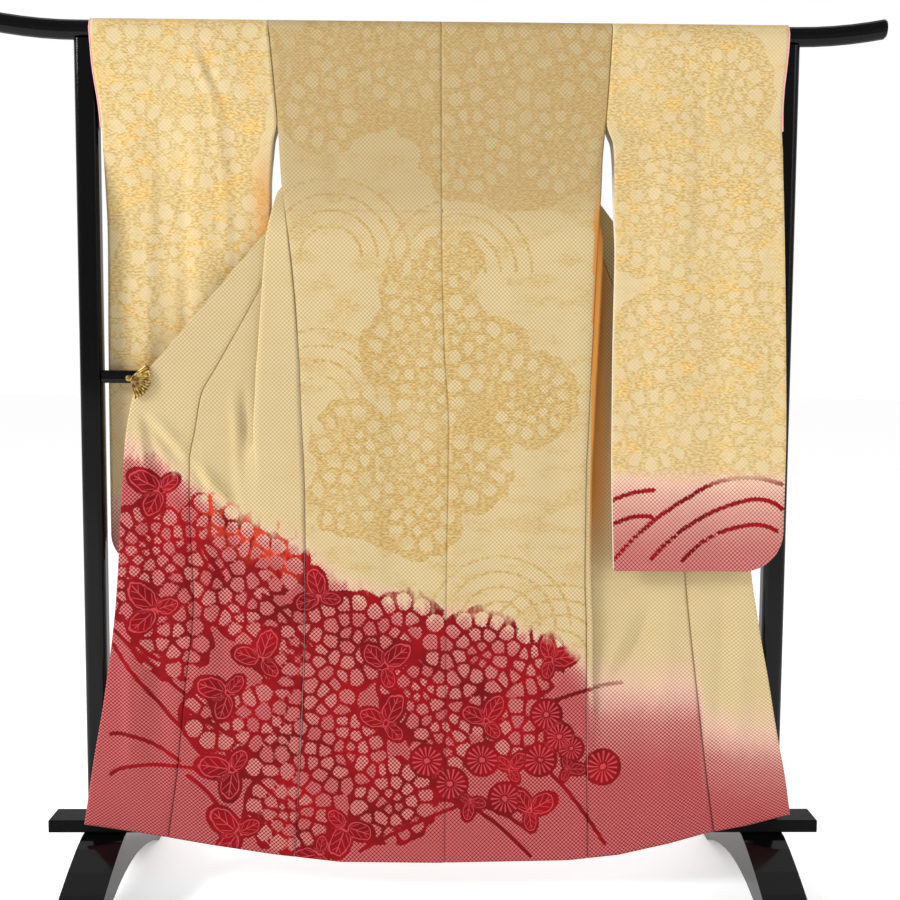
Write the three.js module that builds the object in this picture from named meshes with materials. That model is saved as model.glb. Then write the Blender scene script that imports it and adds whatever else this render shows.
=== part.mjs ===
// A furisode kimono (long-sleeved silk kimono) hung back to the viewer on a
// lacquered stand. Millimetres, +Z up, floor at z = 0, the stand's middle at
// x = 0, the viewer at -Y. Each cloth piece is a thin closed wall that follows
// its own rows of measured points; the stand is plain joinery.
import * as THREE from 'three';
import { mergeVertices } from 'three/addons/utils/BufferGeometryUtils.js';

// ---- driving dimensions ---------------------------------------------------
const WALL = 2;               // cloth wall: two layers of silk and their lining
const SEAM_GAP = 0.3;         // between two pieces that are sewn together
const FOLD_HALF = 3;          // half the step between the layers of a fold
const BAR_TOP = 1708;
const BAR_HIGH = 38;
const BAR_DEEP = 30;
const BAR_END = 858;          // half length of the top bar
const BAR_BEND_START = 685;   // where its ends begin to turn up
const BAR_END_RISE = 17;
const POST_OUT = 669;         // middle of each upright from the stand's middle
const POST_WIDE = 43;
const POST_DEEP = 40;
const POST_ROUND = 12;        // corner radius of an upright
const BOARD_END = 764;        // half length of the base board
const BOARD_DEEP = 62;
const BOARD_TOP = 156;
const BOARD_THICK = 25;
const FOOT_WIDE = 84;
const FOOT_OUT = 653;         // middle of each foot
const ARM_HIGH = 1032;        // height of the arms that carry the clips
const ARM_THICK = 25;
const FAN_RADIUS = 40;
const FAN_RIBS = 12;
const NECK_CUT_DROP = 22;     // far side of the bar, down to the neck edge
const HANG_TOP = BAR_TOP - BAR_HIGH / 2 + 1;  // where the cloth leaves the bar
const WRAP_DEEP = BAR_DEEP / 2 + WALL / 2 + 1.2;
const WRAP_HIGH = BAR_TOP + WALL / 2 + 0.6 - HANG_TOP;

// ---- small mathematics ----------------------------------------------------
const lerp = (a, b, t) => a + (b - a) * t;
const clamp = (v, lo, hi) => Math.min(hi, Math.max(lo, v));
const soft = (v) => { const t = clamp(v, 0, 1); return t * t * (3 - 2 * t); };
const radians = (degrees) => degrees * Math.PI / 180;

// A table is rows of numbers under named columns, the first one its height;
// the values between two rows follow a smooth curve that does not overshoot.
function table(columns, rows) {
  const heights = rows.map((row) => row[0]);
  const slope = (k, c) => (rows[k + 1][c] - rows[k][c]) / (heights[k + 1] - heights[k]);
  const tangent = (k, c) => {
    if (k === 0) return slope(0, c);
    if (k === rows.length - 1) return slope(k - 1, c);
    const before = slope(k - 1, c);
    const after = slope(k, c);
    return before * after <= 0 ? 0 : 2 * before * after / (before + after);
  };
  return (height) => {
    const h = clamp(height, heights[heights.length - 1], heights[0]);
    let k = 0;
    while (k < rows.length - 2 && h < heights[k + 1]) k += 1;
    const span = heights[k + 1] - heights[k];
    const t = (h - heights[k]) / span;
    const result = {};
    columns.forEach((name, c) => {
      const m0 = tangent(k, c) * span;
      const m1 = tangent(k + 1, c) * span;
      const d = rows[k + 1][c] - rows[k][c];
      result[name] = rows[k][c] + t * (m0 + t * ((3 * d - 2 * m0 - m1) + t * (m0 + m1 - 2 * d)));
    });
    return result;
  };
}

// ---- the garment's measured rows -------------------------------------------
// "out" is the distance outward from the stand's middle, "y" is the depth.
// The back panels hang on the near side of the bar.
const backDepth = table(['z', 'y'], [
  [1700, -17.2], [1600, -20], [1400, -21], [1000, -22], [600, -26], [300, -32], [160, -37], [60, -39],
]);
const centreSeam = table(['z', 'x'], [
  [1720, 5], [1278, 9], [1083, 15], [936, 24], [598, 21], [60, 21],
]);
// How far the hem climbs above its lowest line towards each corner.
const HEM_LOW = 73;
const hemRise = {
  left: [[0, 0], [186, 2], [312, 17], [438, 37], [573, 62], [690, 81]],
  right: [[0, 0], [265, 5], [366, 16], [467, 39], [537, 59], [619, 76], [700, 99]],
};
// A front is opened outwards: from the side edge "s" the row runs to the first
// fold "a", back behind to the second fold "b", then out to the overlap seam
// "o" and the free edge "e". The turn columns give the way that each fold
// faces, in degrees: 0 lies flat, 90 is folded over, 180 lies flat inwards.
const FRONT_COLUMNS = ['z', 's', 'sy', 'a', 'ay', 'aturn', 'b', 'by', 'bturn', 'o', 'oy', 'e', 'ey'];
const fronts = {
  left: table(FRONT_COLUMNS, [
    [1700, 323, 17, 240, 17, 180, 92, 17, 180, 70, 17, 70, 17],
    [1620, 315, 17, 232, 17, 180, 84, 20, 90, 110, 26, 110, 26],
    [1530, 307, 15, 222, 17, 180, 96, 20, 90, 162, 25, 162, 25],
    [1484, 303, 12, 224, 16, 180, 110, 19, 90, 188, 23, 189, 23],
    [1430, 300, 4, 262, 10, 170, 128, 17, 90, 217, 19, 233, 19],
    [1390, 297, -5, 304, 3, 130, 146, 15, 90, 239, 15, 266, 14],
    [1345, 291, -15, 317, -8, 95, 176, 9, 90, 264, 6, 303, 3],
    [1300, 286, -20.8, 326, -13, 90, 206, 3, 90, 288, -3, 340, -6],
    [1237, 279, -21.3, 331, -18, 90, 228, -5, 90, 323, -9, 393, -14],
    [1150, 272, -21.6, 337, -21, 90, 262, -9, 90, 370, -14, 465, -25],
    [1080, 268, -21.8, 342, -23, 90, 290, -12, 90, 409, -20, 523, -34],
    [1046, 266, -21.9, 345, -24, 90, 305, -13, 90, 428, -23, 552, -38],
    [1000, 265, -22, 347, -25, 90, 322, -14.5, 90, 453, -26, 580, -37],
    [930, 262, -22.4, 351, -25, 80, 344, -17, 60, 466, -27, 596, -35],
    [870, 259, -23, 349, -25, 20, 367, -21, 10, 477, -27, 603, -34],
    [800, 257, -23.7, 346, -25, 0, 368, -24, 0, 478, -28, 608, -34],
    [600, 256, -26, 340, -27, 0, 364, -27, 0, 472, -29, 621, -36],
    [400, 261, -30, 340, -31, 0, 366, -31, 0, 491, -33, 645, -38],
    [230, 269, -34.5, 346, -35, 0, 374, -35, 0, 506, -37, 670, -41],
    [60, 277, -39, 354, -40, 0, 384, -40, 0, 526, -41, 690, -44],
  ]),
  right: table(FRONT_COLUMNS, [
    [1700, 331, 17, 248, 17, 180, 102, 17, 180, 80, 17, 80, 17],
    [1620, 327, 17, 240, 17, 180, 96, 20, 90, 132, 26, 132, 26],
    [1540, 322, 16, 236, 17, 180, 116, 20, 90, 193, 26, 193, 26],
    [1502, 319, 14, 234, 17, 180, 124, 20, 90, 221, 25, 222, 25],
    [1450, 315, 9, 236, 16, 180, 134, 20, 90, 244, 25, 260, 25],
    [1390, 313.5, -3, 262, 12, 160, 150, 19, 90, 271, 24, 305, 24],
    [1345, 311.5, -15, 303, -3, 120, 166, 17, 90, 290, 22, 339, 21],
    [1300, 309.5, -20.8, 316, -14, 92, 182, 12, 90, 310, 19, 373, 18],
    [1213, 306, -21.4, 314, -17, 90, 208, 3, 90, 346, 14, 438, 15],
    [1100, 302, -21.8, 310, -18, 90, 236, -2, 90, 402, 9, 523, 10],
    [1050, 300, -21.9, 308, -18, 90, 250, -4, 90, 428, 7, 560, 6],
    [997, 298, -22, 306, -18, 90, 262, -5, 90, 452, 5, 585, 4],
    [930, 296, -22.4, 304, -18.5, 90, 270, -6, 90, 470, 3, 599, 2],
    [844, 293, -23.2, 301, -19.5, 90, 273, -8, 90, 482, 1, 608, -1],
    [655, 293, -25.4, 301, -22, 90, 279, -11, 90, 492, -5, 623, -12],
    [549, 297, -27, 305, -24, 90, 286, -14, 90, 502, -12, 637, -24],
    [423, 299, -29.6, 308, -27, 60, 302, -20, 60, 516, -20, 658, -31],
    [300, 301, -32, 314, -32, 10, 332, -30, 10, 529, -26, 676, -35],
    [180, 303, -36.2, 318, -36, 0, 340, -35, 0, 542, -32, 694, -39],
    [60, 305, -39, 322, -39, 0, 346, -39, 0, 556, -38, 706, -43],
  ]),
};
const SIDE_SEAM_TOP = 1300;
const OKUMI_TIP = 1450;

// A sleeve is one strip over the bar: near wall, fold, far wall. Its inner edge
// is sewn to the body down to the armhole's end and open below it; its outer
// edge is open at the wrist and closed below; its bottom is closed.
const SLEEVE_COLUMNS = ['z', 'in', 'out', 'near', 'far', 'farOut', 'farEdge'];
const sleeves = {
  left: { low: 659, round: 62, rows: table(SLEEVE_COLUMNS, [
    [1700, 323, 658, -17.2, 17.2, 658, 17.2], [1668, 319, 655, -22, 20, 655, 22],
    [1618, 315.5, 651, -23, 18, 651, 23], [1530, 308.5, 640, -19, 18, 640, 19],
    [1480, 314, 638, -12, 18, 638, 18], [1400, 321, 637, -1, 19, 637, 19],
    [1320, 322, 637, 9, 21, 637, 21], [1083, 322, 640, 12, 24, 640, 24],
    [768, 320, 641, 12, 24, 641, 24], [650, 319, 641, 13, 23, 641, 23],
  ]) },
  right: { low: 661, round: 76, rows: table(SLEEVE_COLUMNS, [
    [1700, 331, 666, -17.2, 17.2, 666, 17.2], [1668, 329.5, 664, -22.5, 18, 664, 23.5],
    [1620, 327.5, 660, -23.5, 18, 645, 23], [1580, 325, 656, -25, 17, 641, 16],
    [1538, 323, 654, -28, 15, 641, 2], [1505, 328, 654, -31, 10, 641, -14],
    [1478, 332, 655, -33.5, 4, 648, -24.5], [1440, 334.5, 656, -36, -3, 656, -26],
    [1367, 336, 659, -39, -12, 659, -28], [1270, 340, 663, -41, -20, 663, -29],
    [1087, 338, 670, -42, -27, 670, -30], [889, 339, 675, -43, -29, 675, -31],
    [650, 346, 674, -44, -31, 674, -32],
  ]) },
};
const WRIST_LOW = 1478;       // lower end of the wrist opening
const ARMHOLE_LOW = 1530;     // lower end of the seam between sleeve and body
const SLEEVE_START = 0.45;    // the sleeve's edge, outward from the seam line
const CUFF_EDGE = 2.6;        // the lining's rolled edge that shows at the wrist

// Broad soft folds: where each runs (distance out), how wide, how deep, and the
// heights between which it comes and goes.
const BROAD_FOLDS = {
  back_left: [[60, 60, 3, 1250, 500], [150, 45, -3, 1250, 700], [215, 40, 3, 700, 200]],
  back_right: [[90, 60, 3, 1200, 450], [180, 45, -3, 1000, 300], [245, 36, 3, 1250, 800]],
  front_left: [[410, 34, 5, 900, 240], [440, 30, -4, 900, 300]],
  front_right: [[400, 40, 4, 800, 200], [455, 32, -4, 640, 200]],
  okumi_left: [[545, 30, 5, 900, 260], [585, 26, -4, 820, 300]],
  okumi_right: [[565, 30, 4, 700, 200], [600, 30, -3, 600, 200]],
  sleeve_left: [[380, 26, 4, 1560, 700], [450, 34, -4, 1600, 760], [530, 30, 4, 1600, 760], [590, 24, -3, 1600, 820]],
  sleeve_right: [[385, 28, 4, 1500, 720], [460, 36, -4, 1600, 760], [540, 34, 4, 1500, 720], [610, 30, -4, 1600, 760]],
};
function foldDepth(name, out, z) {
  const shaped = (BROAD_FOLDS[name] || []).map(([at, wide, deep, top, low]) => {
    const across = Math.exp(-(((out - at) / wide) ** 2));
    const along = soft((top - z) / 140) * soft((z - low) / 140 + 1);
    return deep * across * along;
  });
  return shaped.reduce((sum, value) => sum + value, 0);
}

function hemLift(side, out, z) {
  const rows = hemRise[side];
  let k = 0;
  while (k < rows.length - 2 && out > rows[k + 1][0]) k += 1;
  const t = clamp((out - rows[k][0]) / (rows[k + 1][0] - rows[k][0]), 0, 1);
  return lerp(rows[k][1], rows[k + 1][1], t) * (clamp((700 - z) / (700 - HEM_LOW), 0, 1) ** 2);
}

// ---- walls from rows ---------------------------------------------------------
// Turns a sheet of four-sided cells into a closed wall: each point moves half
// the thickness to both sides, and every free edge is closed with a rim.
function clothWall(points, cells, thickness = WALL) {
  const normals = points.map(() => new THREE.Vector3());
  cells.forEach((cell) => {
    const [a, b, c, d] = cell.map((k) => points[k]);
    const across = new THREE.Vector3().subVectors(c, a);
    const up = new THREE.Vector3().subVectors(d, b);
    const normal = new THREE.Vector3().crossVectors(across, up).normalize();
    cell.forEach((k) => normals[k].add(normal));
  });
  const half = thickness / 2;
  const outer = points.map((p, k) => p.clone().addScaledVector(normals[k].clone().normalize(), half));
  const inner = points.map((p, k) => p.clone().addScaledVector(normals[k].clone().normalize(), -half));
  const positions = [];
  const triangle = (...corners) => corners.forEach((p) => positions.push(p.x, p.y, p.z));
  const uses = new Map();
  cells.forEach((cell) => cell.forEach((k, at) => {
    uses.set(`${k}_${cell[(at + 1) % 4]}`, true);
  }));
  cells.forEach((cell) => {
    const [a, b, c, d] = cell;
    triangle(outer[a], outer[b], outer[c]);
    triangle(outer[a], outer[c], outer[d]);
    triangle(inner[a], inner[c], inner[b]);
    triangle(inner[a], inner[d], inner[c]);
    cell.forEach((k, at) => {
      const next = cell[(at + 1) % 4];
      if (uses.has(`${next}_${k}`)) return;
      triangle(outer[k], inner[k], inner[next]);
      triangle(outer[k], inner[next], outer[next]);
    });
  });
  const geometry = new THREE.BufferGeometry();
  geometry.setAttribute('position', new THREE.Float32BufferAttribute(positions, 3));
  return mergeVertices(geometry, 1e-4);
}

// Cells of a grid of rows; keep(i, j) leaves cells out. The sheet faces -Y when
// its rows run downwards and its columns outwards on the left side.
function gridCells(rowCount, columnCount, keep, flip) {
  const cells = [];
  for (let i = 0; i < rowCount - 1; i += 1) {
    for (let j = 0; j < columnCount - 1; j += 1) {
      if (!keep(i, j)) continue;
      const a = i * columnCount + j;
      const cell = [a, a + 1, a + columnCount + 1, a + columnCount];
      cells.push(flip ? cell.reverse() : cell);
    }
  }
  return cells;
}

function usedOnly(points, cells) {
  const order = new Map();
  const kept = [];
  const renumbered = cells.map((cell) => cell.map((k) => {
    if (!order.has(k)) {
      order.set(k, kept.length);
      kept.push(points[k]);
    }
    return order.get(k);
  }));
  return [kept, renumbered];
}

const SIGN = { left: -1, right: 1 };
const spread = (from, to, count) => Array.from({ length: count + 1 }, (_, k) => lerp(from, to, k / count));

// ---- a front row -------------------------------------------------------------
// The path of one front row from the overlap seam in to the side edge, in the
// same order as the shoulder's columns.
const FRONT_CELLS = { flap: 5, turn: 1, middle: 2, near: 2 };
function frontPath(side, z) {
  const r = fronts[side](z);
  const turnA = [FOLD_HALF * Math.cos(radians(r.aturn)), FOLD_HALF * Math.sin(radians(r.aturn))];
  const turnB = [FOLD_HALF * Math.cos(radians(r.bturn)), FOLD_HALF * Math.sin(radians(r.bturn))];
  const lean = Math.atan2(r.ay - turnA[1] - r.sy, r.a - r.s);
  const sewn = SEAM_GAP / 2 + Math.abs(Math.sin(lean)) * WALL / 2;
  const start = z <= SIDE_SEAM_TOP ? r.s + sewn : r.s - SEAM_GAP / 2;
  return {
    seam: [r.o - SEAM_GAP / 2, r.oy],
    flapTurn: [r.b + turnB[0], r.by + turnB[1]],
    middleTurn: [r.b - turnB[0], r.by - turnB[1]],
    ridgeBack: [r.a + turnA[0], r.ay + turnA[1]],
    ridgeFront: [r.a - turnA[0], r.ay - turnA[1]],
    side: [start, r.sy],
  };
}
function frontRow(side, z) {
  const path = frontPath(side, z);
  const row = [];
  const stretch = (from, to, count, folds) => {
    for (let k = row.length ? 1 : 0; k <= count; k += 1) {
      const out = lerp(from[0], to[0], k / count);
      const rise = hemLift(side, out, z);
      const deep = folds ? foldDepth(folds, out, z) * Math.sin(Math.PI * k / count) : 0;
      row.push(new THREE.Vector3(SIGN[side] * out, lerp(from[1], to[1], k / count) + deep, z + rise));
    }
  };
  stretch(path.seam, path.flapTurn, FRONT_CELLS.flap, z < 1000 ? `front_${side}` : null);
  stretch(path.flapTurn, path.middleTurn, FRONT_CELLS.turn);
  stretch(path.middleTurn, path.ridgeBack, FRONT_CELLS.middle);
  stretch(path.ridgeBack, path.ridgeFront, FRONT_CELLS.turn);
  stretch(path.ridgeFront, path.side, FRONT_CELLS.near);
  return row;
}

// ---- a body strip: back panel, over the bar, front panel, in one length -------
const NECK_CELLS = 2;
const BACK_ROWS = [HEM_LOW, 140, 210, 300, 400, 500, 600, 700, 800, 930, 1080, 1190, 1300, 1345, 1420,
  1530, 1620];
const WRAP_STEPS = 6;
const FRONT_ROWS = [1660, 1620, 1575, 1530, 1484, 1450, 1420, 1390, 1367, 1345, 1322, 1300, 1268, 1237,
  1190, 1140, 1080, 1020, 975, 930, 900, 870, 800, 700, 600, 500, 400, 300, 210, 140, HEM_LOW];

function bodyStrip(side) {
  const top = frontRow(side, HANG_TOP).map((p) => SIGN[side] * p.x);
  const middle = SIGN[side] * centreSeam(HANG_TOP).x + SEAM_GAP / 2;
  const columns = spread(middle, top[0], NECK_CELLS).concat(top.slice(1));
  const edge = columns[columns.length - 1];
  const share = columns.map((out) => (out - middle) / (edge - middle));
  const points = [];
  const backPoint = (z, part) => {
    const from = SIGN[side] * centreSeam(z).x + SEAM_GAP / 2;
    const row = fronts[side](z);
    const out = lerp(from, row.s - SEAM_GAP / 2, part);
    const fold = foldDepth(`back_${side}`, out, z) * Math.sin(Math.PI * clamp(part, 0, 1));
    return new THREE.Vector3(SIGN[side] * out, backDepth(z).y + fold, z + hemLift(side, out, z));
  };
  BACK_ROWS.forEach((z) => share.forEach((part) => points.push(backPoint(z, part))));
  for (let k = 0; k <= WRAP_STEPS; k += 1) {
    const angle = Math.PI * k / WRAP_STEPS;
    columns.forEach((out) => points.push(new THREE.Vector3(
      SIGN[side] * out, -WRAP_DEEP * Math.cos(angle), HANG_TOP + WRAP_HIGH * Math.sin(angle))));
  }
  const bent = BACK_ROWS.length + WRAP_STEPS + 1;
  FRONT_ROWS.forEach((z) => {
    const row = frontRow(side, z);
    for (let k = 0; k < NECK_CELLS; k += 1) row.unshift(row[0].clone());
    points.push(...row);
  });
  const keep = (i, j) => i < bent - 1 || j >= NECK_CELLS;
  const cells = gridCells(bent + FRONT_ROWS.length, columns.length, keep, side === 'right');
  return clothWall(...usedOnly(points, cells.map((cell) => cell.slice().reverse())));
}

// ---- the overlap panels --------------------------------------------------------
const OKUMI_CELLS = 4;
function okumi(side) {
  const heights = FRONT_ROWS.filter((z) => z <= OKUMI_TIP);
  const points = [];
  heights.forEach((z) => {
    const r = fronts[side](z);
    spread(0, 1, OKUMI_CELLS).forEach((part) => {
      const out = lerp(r.o + SEAM_GAP / 2, r.e, part);
      const deep = foldDepth(`okumi_${side}`, out, z) * Math.sin(Math.PI * part);
      points.push(new THREE.Vector3(SIGN[side] * out, lerp(r.oy, r.ey, part) + deep, z + hemLift(side, out, z)));
    });
  });
  return clothWall(points, gridCells(heights.length, OKUMI_CELLS + 1, () => true, side === 'left'));
}

// ---- the collar: from the centre of the neck along each free edge, turned in ----
const COLLAR_WIDE = 55;
const COLLAR_LOW = 1075;
const COLLAR_CLEAR = 4.6;     // it lies this far behind the front's edge
const COLLAR_NECK = [[5, 1682, 0, -1], [34, 1682, 0.15, -1], [60, 1678, 0.45, -0.9]];
function collar(side) {
  const lead = COLLAR_NECK.map(([out, z, acrossOut, acrossZ], k) => {
    const edge = k === 0 ? SIGN[side] * centreSeam(z).x + SEAM_GAP / 2 : out;
    return { edge: new THREE.Vector2(edge, z), across: new THREE.Vector2(-acrossOut, acrossZ), y: 22 };
  });
  const along = [1640, 1590, 1540, 1484, 1430, 1390, 1345, 1300, 1237, 1190, 1150, 1110, COLLAR_LOW];
  along.forEach((z) => {
    const here = fronts[side](z);
    const ahead = fronts[side](z - 10);
    const run = new THREE.Vector2(ahead.e - here.e, -10).normalize();
    const inward = new THREE.Vector2(-1, 0).multiplyScalar(-run.y).add(new THREE.Vector2(0, -run.x));
    lead.push({ edge: new THREE.Vector2(here.e - 2, z), across: inward, y: here.ey + COLLAR_CLEAR, z });
  });
  const points = [];
  lead.forEach(({ edge, across, y, z }) => {
    const lean = across.clone().normalize();
    spread(0, COLLAR_WIDE, 2).forEach((reach) => {
      const out = edge.x + lean.x * reach;
      const height = edge.y + lean.y * reach;
      const flap = fronts[side](height);
      const along = z === undefined ? 0 : clamp((out - flap.b) / Math.max(flap.e - flap.b, 1), 0, 1);
      const depth = z === undefined ? y : lerp(flap.by + FOLD_HALF, flap.ey, along) + COLLAR_CLEAR;
      points.push(new THREE.Vector3(SIGN[side] * out, depth, height));
    });
  });
  return clothWall(points, gridCells(lead.length, 3, () => true, side === 'right'));
}

// ---- the sleeves ---------------------------------------------------------------
const SLEEVE_CELLS = 9;
const SLEEVE_HEIGHTS = [1668, 1620, 1580, 1538, 1505, WRIST_LOW, 1440, 1380, 1310, 1230, 1130, 1030, 930, 830];
function sleeveHeights(side) {
  const { low, round } = sleeves[side];
  const corner = [90, 68, 46, 26, 8].map((degrees) => low + round * (1 - Math.cos(radians(degrees))));
  return [HANG_TOP, ...SLEEVE_HEIGHTS, ...corner, low];
}
function sleevePoint(side, z, part, wall, lastRow) {
  const { low, round, rows } = sleeves[side];
  const r = rows(z);
  const height = clamp((low + round - z) / round, 0, 1);
  const outer = r.out - round * (1 - Math.sqrt(1 - height * height)) * (lastRow ? 0.94 : 1);
  const far = wall === 'far';
  const inner = (z >= ARMHOLE_LOW ? fronts[side](z).s : r.in) + SLEEVE_START;
  const out = lerp(inner, far ? Math.min(outer, r.farOut) : outer, part);
  const deep = foldDepth(`sleeve_${side}`, out, z) * Math.sin(Math.PI * part);
  const sewn = soft((z - ARMHOLE_LOW + 60) / 60) * (1 - soft(part * 3));
  const bodyY = far ? fronts[side](z).sy : backDepth(z).y;
  const free = far ? lerp(r.far, r.farEdge, part) + deep / 2 : r.near + deep;
  return new THREE.Vector3(SIGN[side] * out, lerp(free, bodyY, sewn), z);
}
function sleeve(side) {
  const heights = sleeveHeights(side);
  const wide = SLEEVE_CELLS + 1;
  const points = [];
  const addRow = (z, wall) => spread(0, 1, SLEEVE_CELLS).forEach((part) => {
    points.push(sleevePoint(side, z, part, wall, z === heights[heights.length - 1]));
  });
  heights.slice().reverse().forEach((z) => addRow(z, 'near'));
  const top = sleeves[side].rows(HANG_TOP);
  for (let k = 1; k < WRAP_STEPS; k += 1) {
    const angle = Math.PI * k / WRAP_STEPS;
    spread(fronts[side](HANG_TOP).s + SLEEVE_START, top.out, SLEEVE_CELLS).forEach((out) => points.push(new THREE.Vector3(
      SIGN[side] * out, -WRAP_DEEP * Math.cos(angle), HANG_TOP + WRAP_HIGH * Math.sin(angle))));
  }
  heights.forEach((z) => addRow(z, 'far'));
  const rowCount = points.length / wide;
  const cells = gridCells(rowCount, wide, () => true, false);
  const last = SLEEVE_CELLS;
  heights.forEach((z, k) => {
    if (z > WRIST_LOW + 1 || k === heights.length - 1) return;
    const near = heights.length - 1 - k;
    const far = rowCount - heights.length + k;
    cells.push([near * wide + last, (near - 1) * wide + last, (far + 1) * wide + last, far * wide + last]);
  });
  for (let j = 0; j < SLEEVE_CELLS; j += 1) {
    const far = (rowCount - 1) * wide;
    cells.push([j + 1, j, far + j, far + j + 1]);
  }
  const facing = side === 'left' ? cells.map((cell) => cell.slice().reverse()) : cells;
  return clothWall(points, facing);
}

// The lining's rolled edge that shows all round the wrist opening.
function cuffEdge(side) {
  const heights = [1505, 1538, 1580, 1620, 1668, HANG_TOP];
  const top = sleeves[side].rows(HANG_TOP);
  const points = [];
  const addEdge = (out, y, z) => [SEAM_GAP, SEAM_GAP + CUFF_EDGE].forEach((past) => {
    points.push(new THREE.Vector3(SIGN[side] * (out + past), y, z));
  });
  heights.forEach((z) => addEdge(sleeves[side].rows(z).out, sleeves[side].rows(z).near, z));
  for (let k = 1; k < WRAP_STEPS; k += 1) {
    const angle = Math.PI * k / WRAP_STEPS;
    addEdge(top.out, -WRAP_DEEP * Math.cos(angle), HANG_TOP + WRAP_HIGH * Math.sin(angle));
  }
  heights.slice().reverse().forEach((z) => {
    addEdge(sleeves[side].rows(z).farOut, sleeves[side].rows(z).farEdge, z);
  });
  return clothWall(points, gridCells(points.length / 2, 2, () => true, side === 'left'));
}

// ---- the stand -------------------------------------------------------------------
// A closed bar through rings of points, its two ends capped with a fan.
function loft(rings) {
  const positions = [];
  const count = rings[0].length;
  const triangle = (...corners) => corners.forEach((p) => positions.push(p.x, p.y, p.z));
  for (let i = 0; i < rings.length - 1; i += 1) {
    for (let j = 0; j < count; j += 1) {
      const n = (j + 1) % count;
      triangle(rings[i][j], rings[i][n], rings[i + 1][n]);
      triangle(rings[i][j], rings[i + 1][n], rings[i + 1][j]);
    }
  }
  const cap = (ring, turned) => {
    const middle = ring.reduce((sum, p) => sum.add(p), new THREE.Vector3()).divideScalar(count);
    ring.forEach((p, j) => {
      const next = ring[(j + 1) % count];
      if (turned) triangle(middle, next, p);
      else triangle(middle, p, next);
    });
  };
  cap(rings[0], true);
  cap(rings[rings.length - 1], false);
  const geometry = new THREE.BufferGeometry();
  geometry.setAttribute('position', new THREE.Float32BufferAttribute(positions, 3));
  return mergeVertices(geometry, 1e-4);
}

function topBar() {
  const sides = 16;
  const half = [0, 200, 420, BAR_BEND_START, 720, 755, 790, 825, BAR_END - 4, BAR_END];
  const stations = half.slice(1).reverse().map((x) => -x).concat(half);
  const middle = BAR_TOP - BAR_HIGH / 2;
  return loft(stations.map((x) => {
    const bend = Math.max(0, (Math.abs(x) - BAR_BEND_START) / (BAR_END - BAR_BEND_START));
    const end = Math.abs(x) === BAR_END ? 0.86 : 1;
    return spread(0, 2 * Math.PI, sides).slice(0, sides).map((angle) => new THREE.Vector3(
      x, end * BAR_DEEP / 2 * Math.cos(angle), middle + BAR_END_RISE * bend * bend + end * BAR_HIGH / 2 * Math.sin(angle)));
  }));
}

function roundedPlate(wide, deep, radius, segments) {
  const shape = new THREE.Shape();
  const [x, y] = [wide / 2, deep / 2];
  shape.moveTo(-x + radius, -y);
  shape.lineTo(x - radius, -y);
  shape.absarc(x - radius, -y + radius, radius, -Math.PI / 2, 0, false);
  shape.lineTo(x, y - radius);
  shape.absarc(x - radius, y - radius, radius, 0, Math.PI / 2, false);
  shape.lineTo(-x + radius, y);
  shape.absarc(-x + radius, y - radius, radius, Math.PI / 2, Math.PI, false);
  shape.lineTo(-x, -y + radius);
  shape.absarc(-x + radius, -y + radius, radius, Math.PI, Math.PI * 1.5, false);
  return (depth) => new THREE.ExtrudeGeometry(shape, { depth, bevelEnabled: false, curveSegments: segments });
}

// Half of a foot's outline: how far forward, the top and the underside there.
const FOOT_PROFILE = [[0, 131, 56], [40, 127.5, 54.5], [78, 117, 50], [132, 96, 39], [180, 74, 25], [222, 52, 10]];
const FOOT_SOLE = [240, 272];
function foot() {
  const shape = new THREE.Shape();
  const forward = FOOT_PROFILE.slice(1);
  shape.moveTo(0, FOOT_PROFILE[0][1]);
  forward.forEach(([y, high]) => shape.lineTo(y, high));
  shape.lineTo(FOOT_SOLE[1] - 14, 27);
  shape.lineTo(FOOT_SOLE[1] - 2, 12);
  shape.lineTo(FOOT_SOLE[1], 0);
  shape.lineTo(FOOT_SOLE[0], 0);
  forward.slice().reverse().forEach(([y, , low]) => shape.lineTo(y, low));
  shape.lineTo(0, FOOT_PROFILE[0][2]);
  forward.forEach(([y, , low]) => shape.lineTo(-y, low));
  shape.lineTo(-FOOT_SOLE[0], 0);
  shape.lineTo(-FOOT_SOLE[1], 0);
  shape.lineTo(-FOOT_SOLE[1] + 2, 12);
  shape.lineTo(-FOOT_SOLE[1] + 14, 27);
  forward.slice().reverse().forEach(([y, high]) => shape.lineTo(-y, high));
  const geometry = new THREE.ExtrudeGeometry(shape, { depth: FOOT_WIDE, bevelEnabled: false });
  geometry.translate(0, 0, -FOOT_WIDE / 2);
  geometry.rotateY(Math.PI / 2);
  geometry.rotateX(Math.PI / 2);
  return geometry;
}

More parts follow.
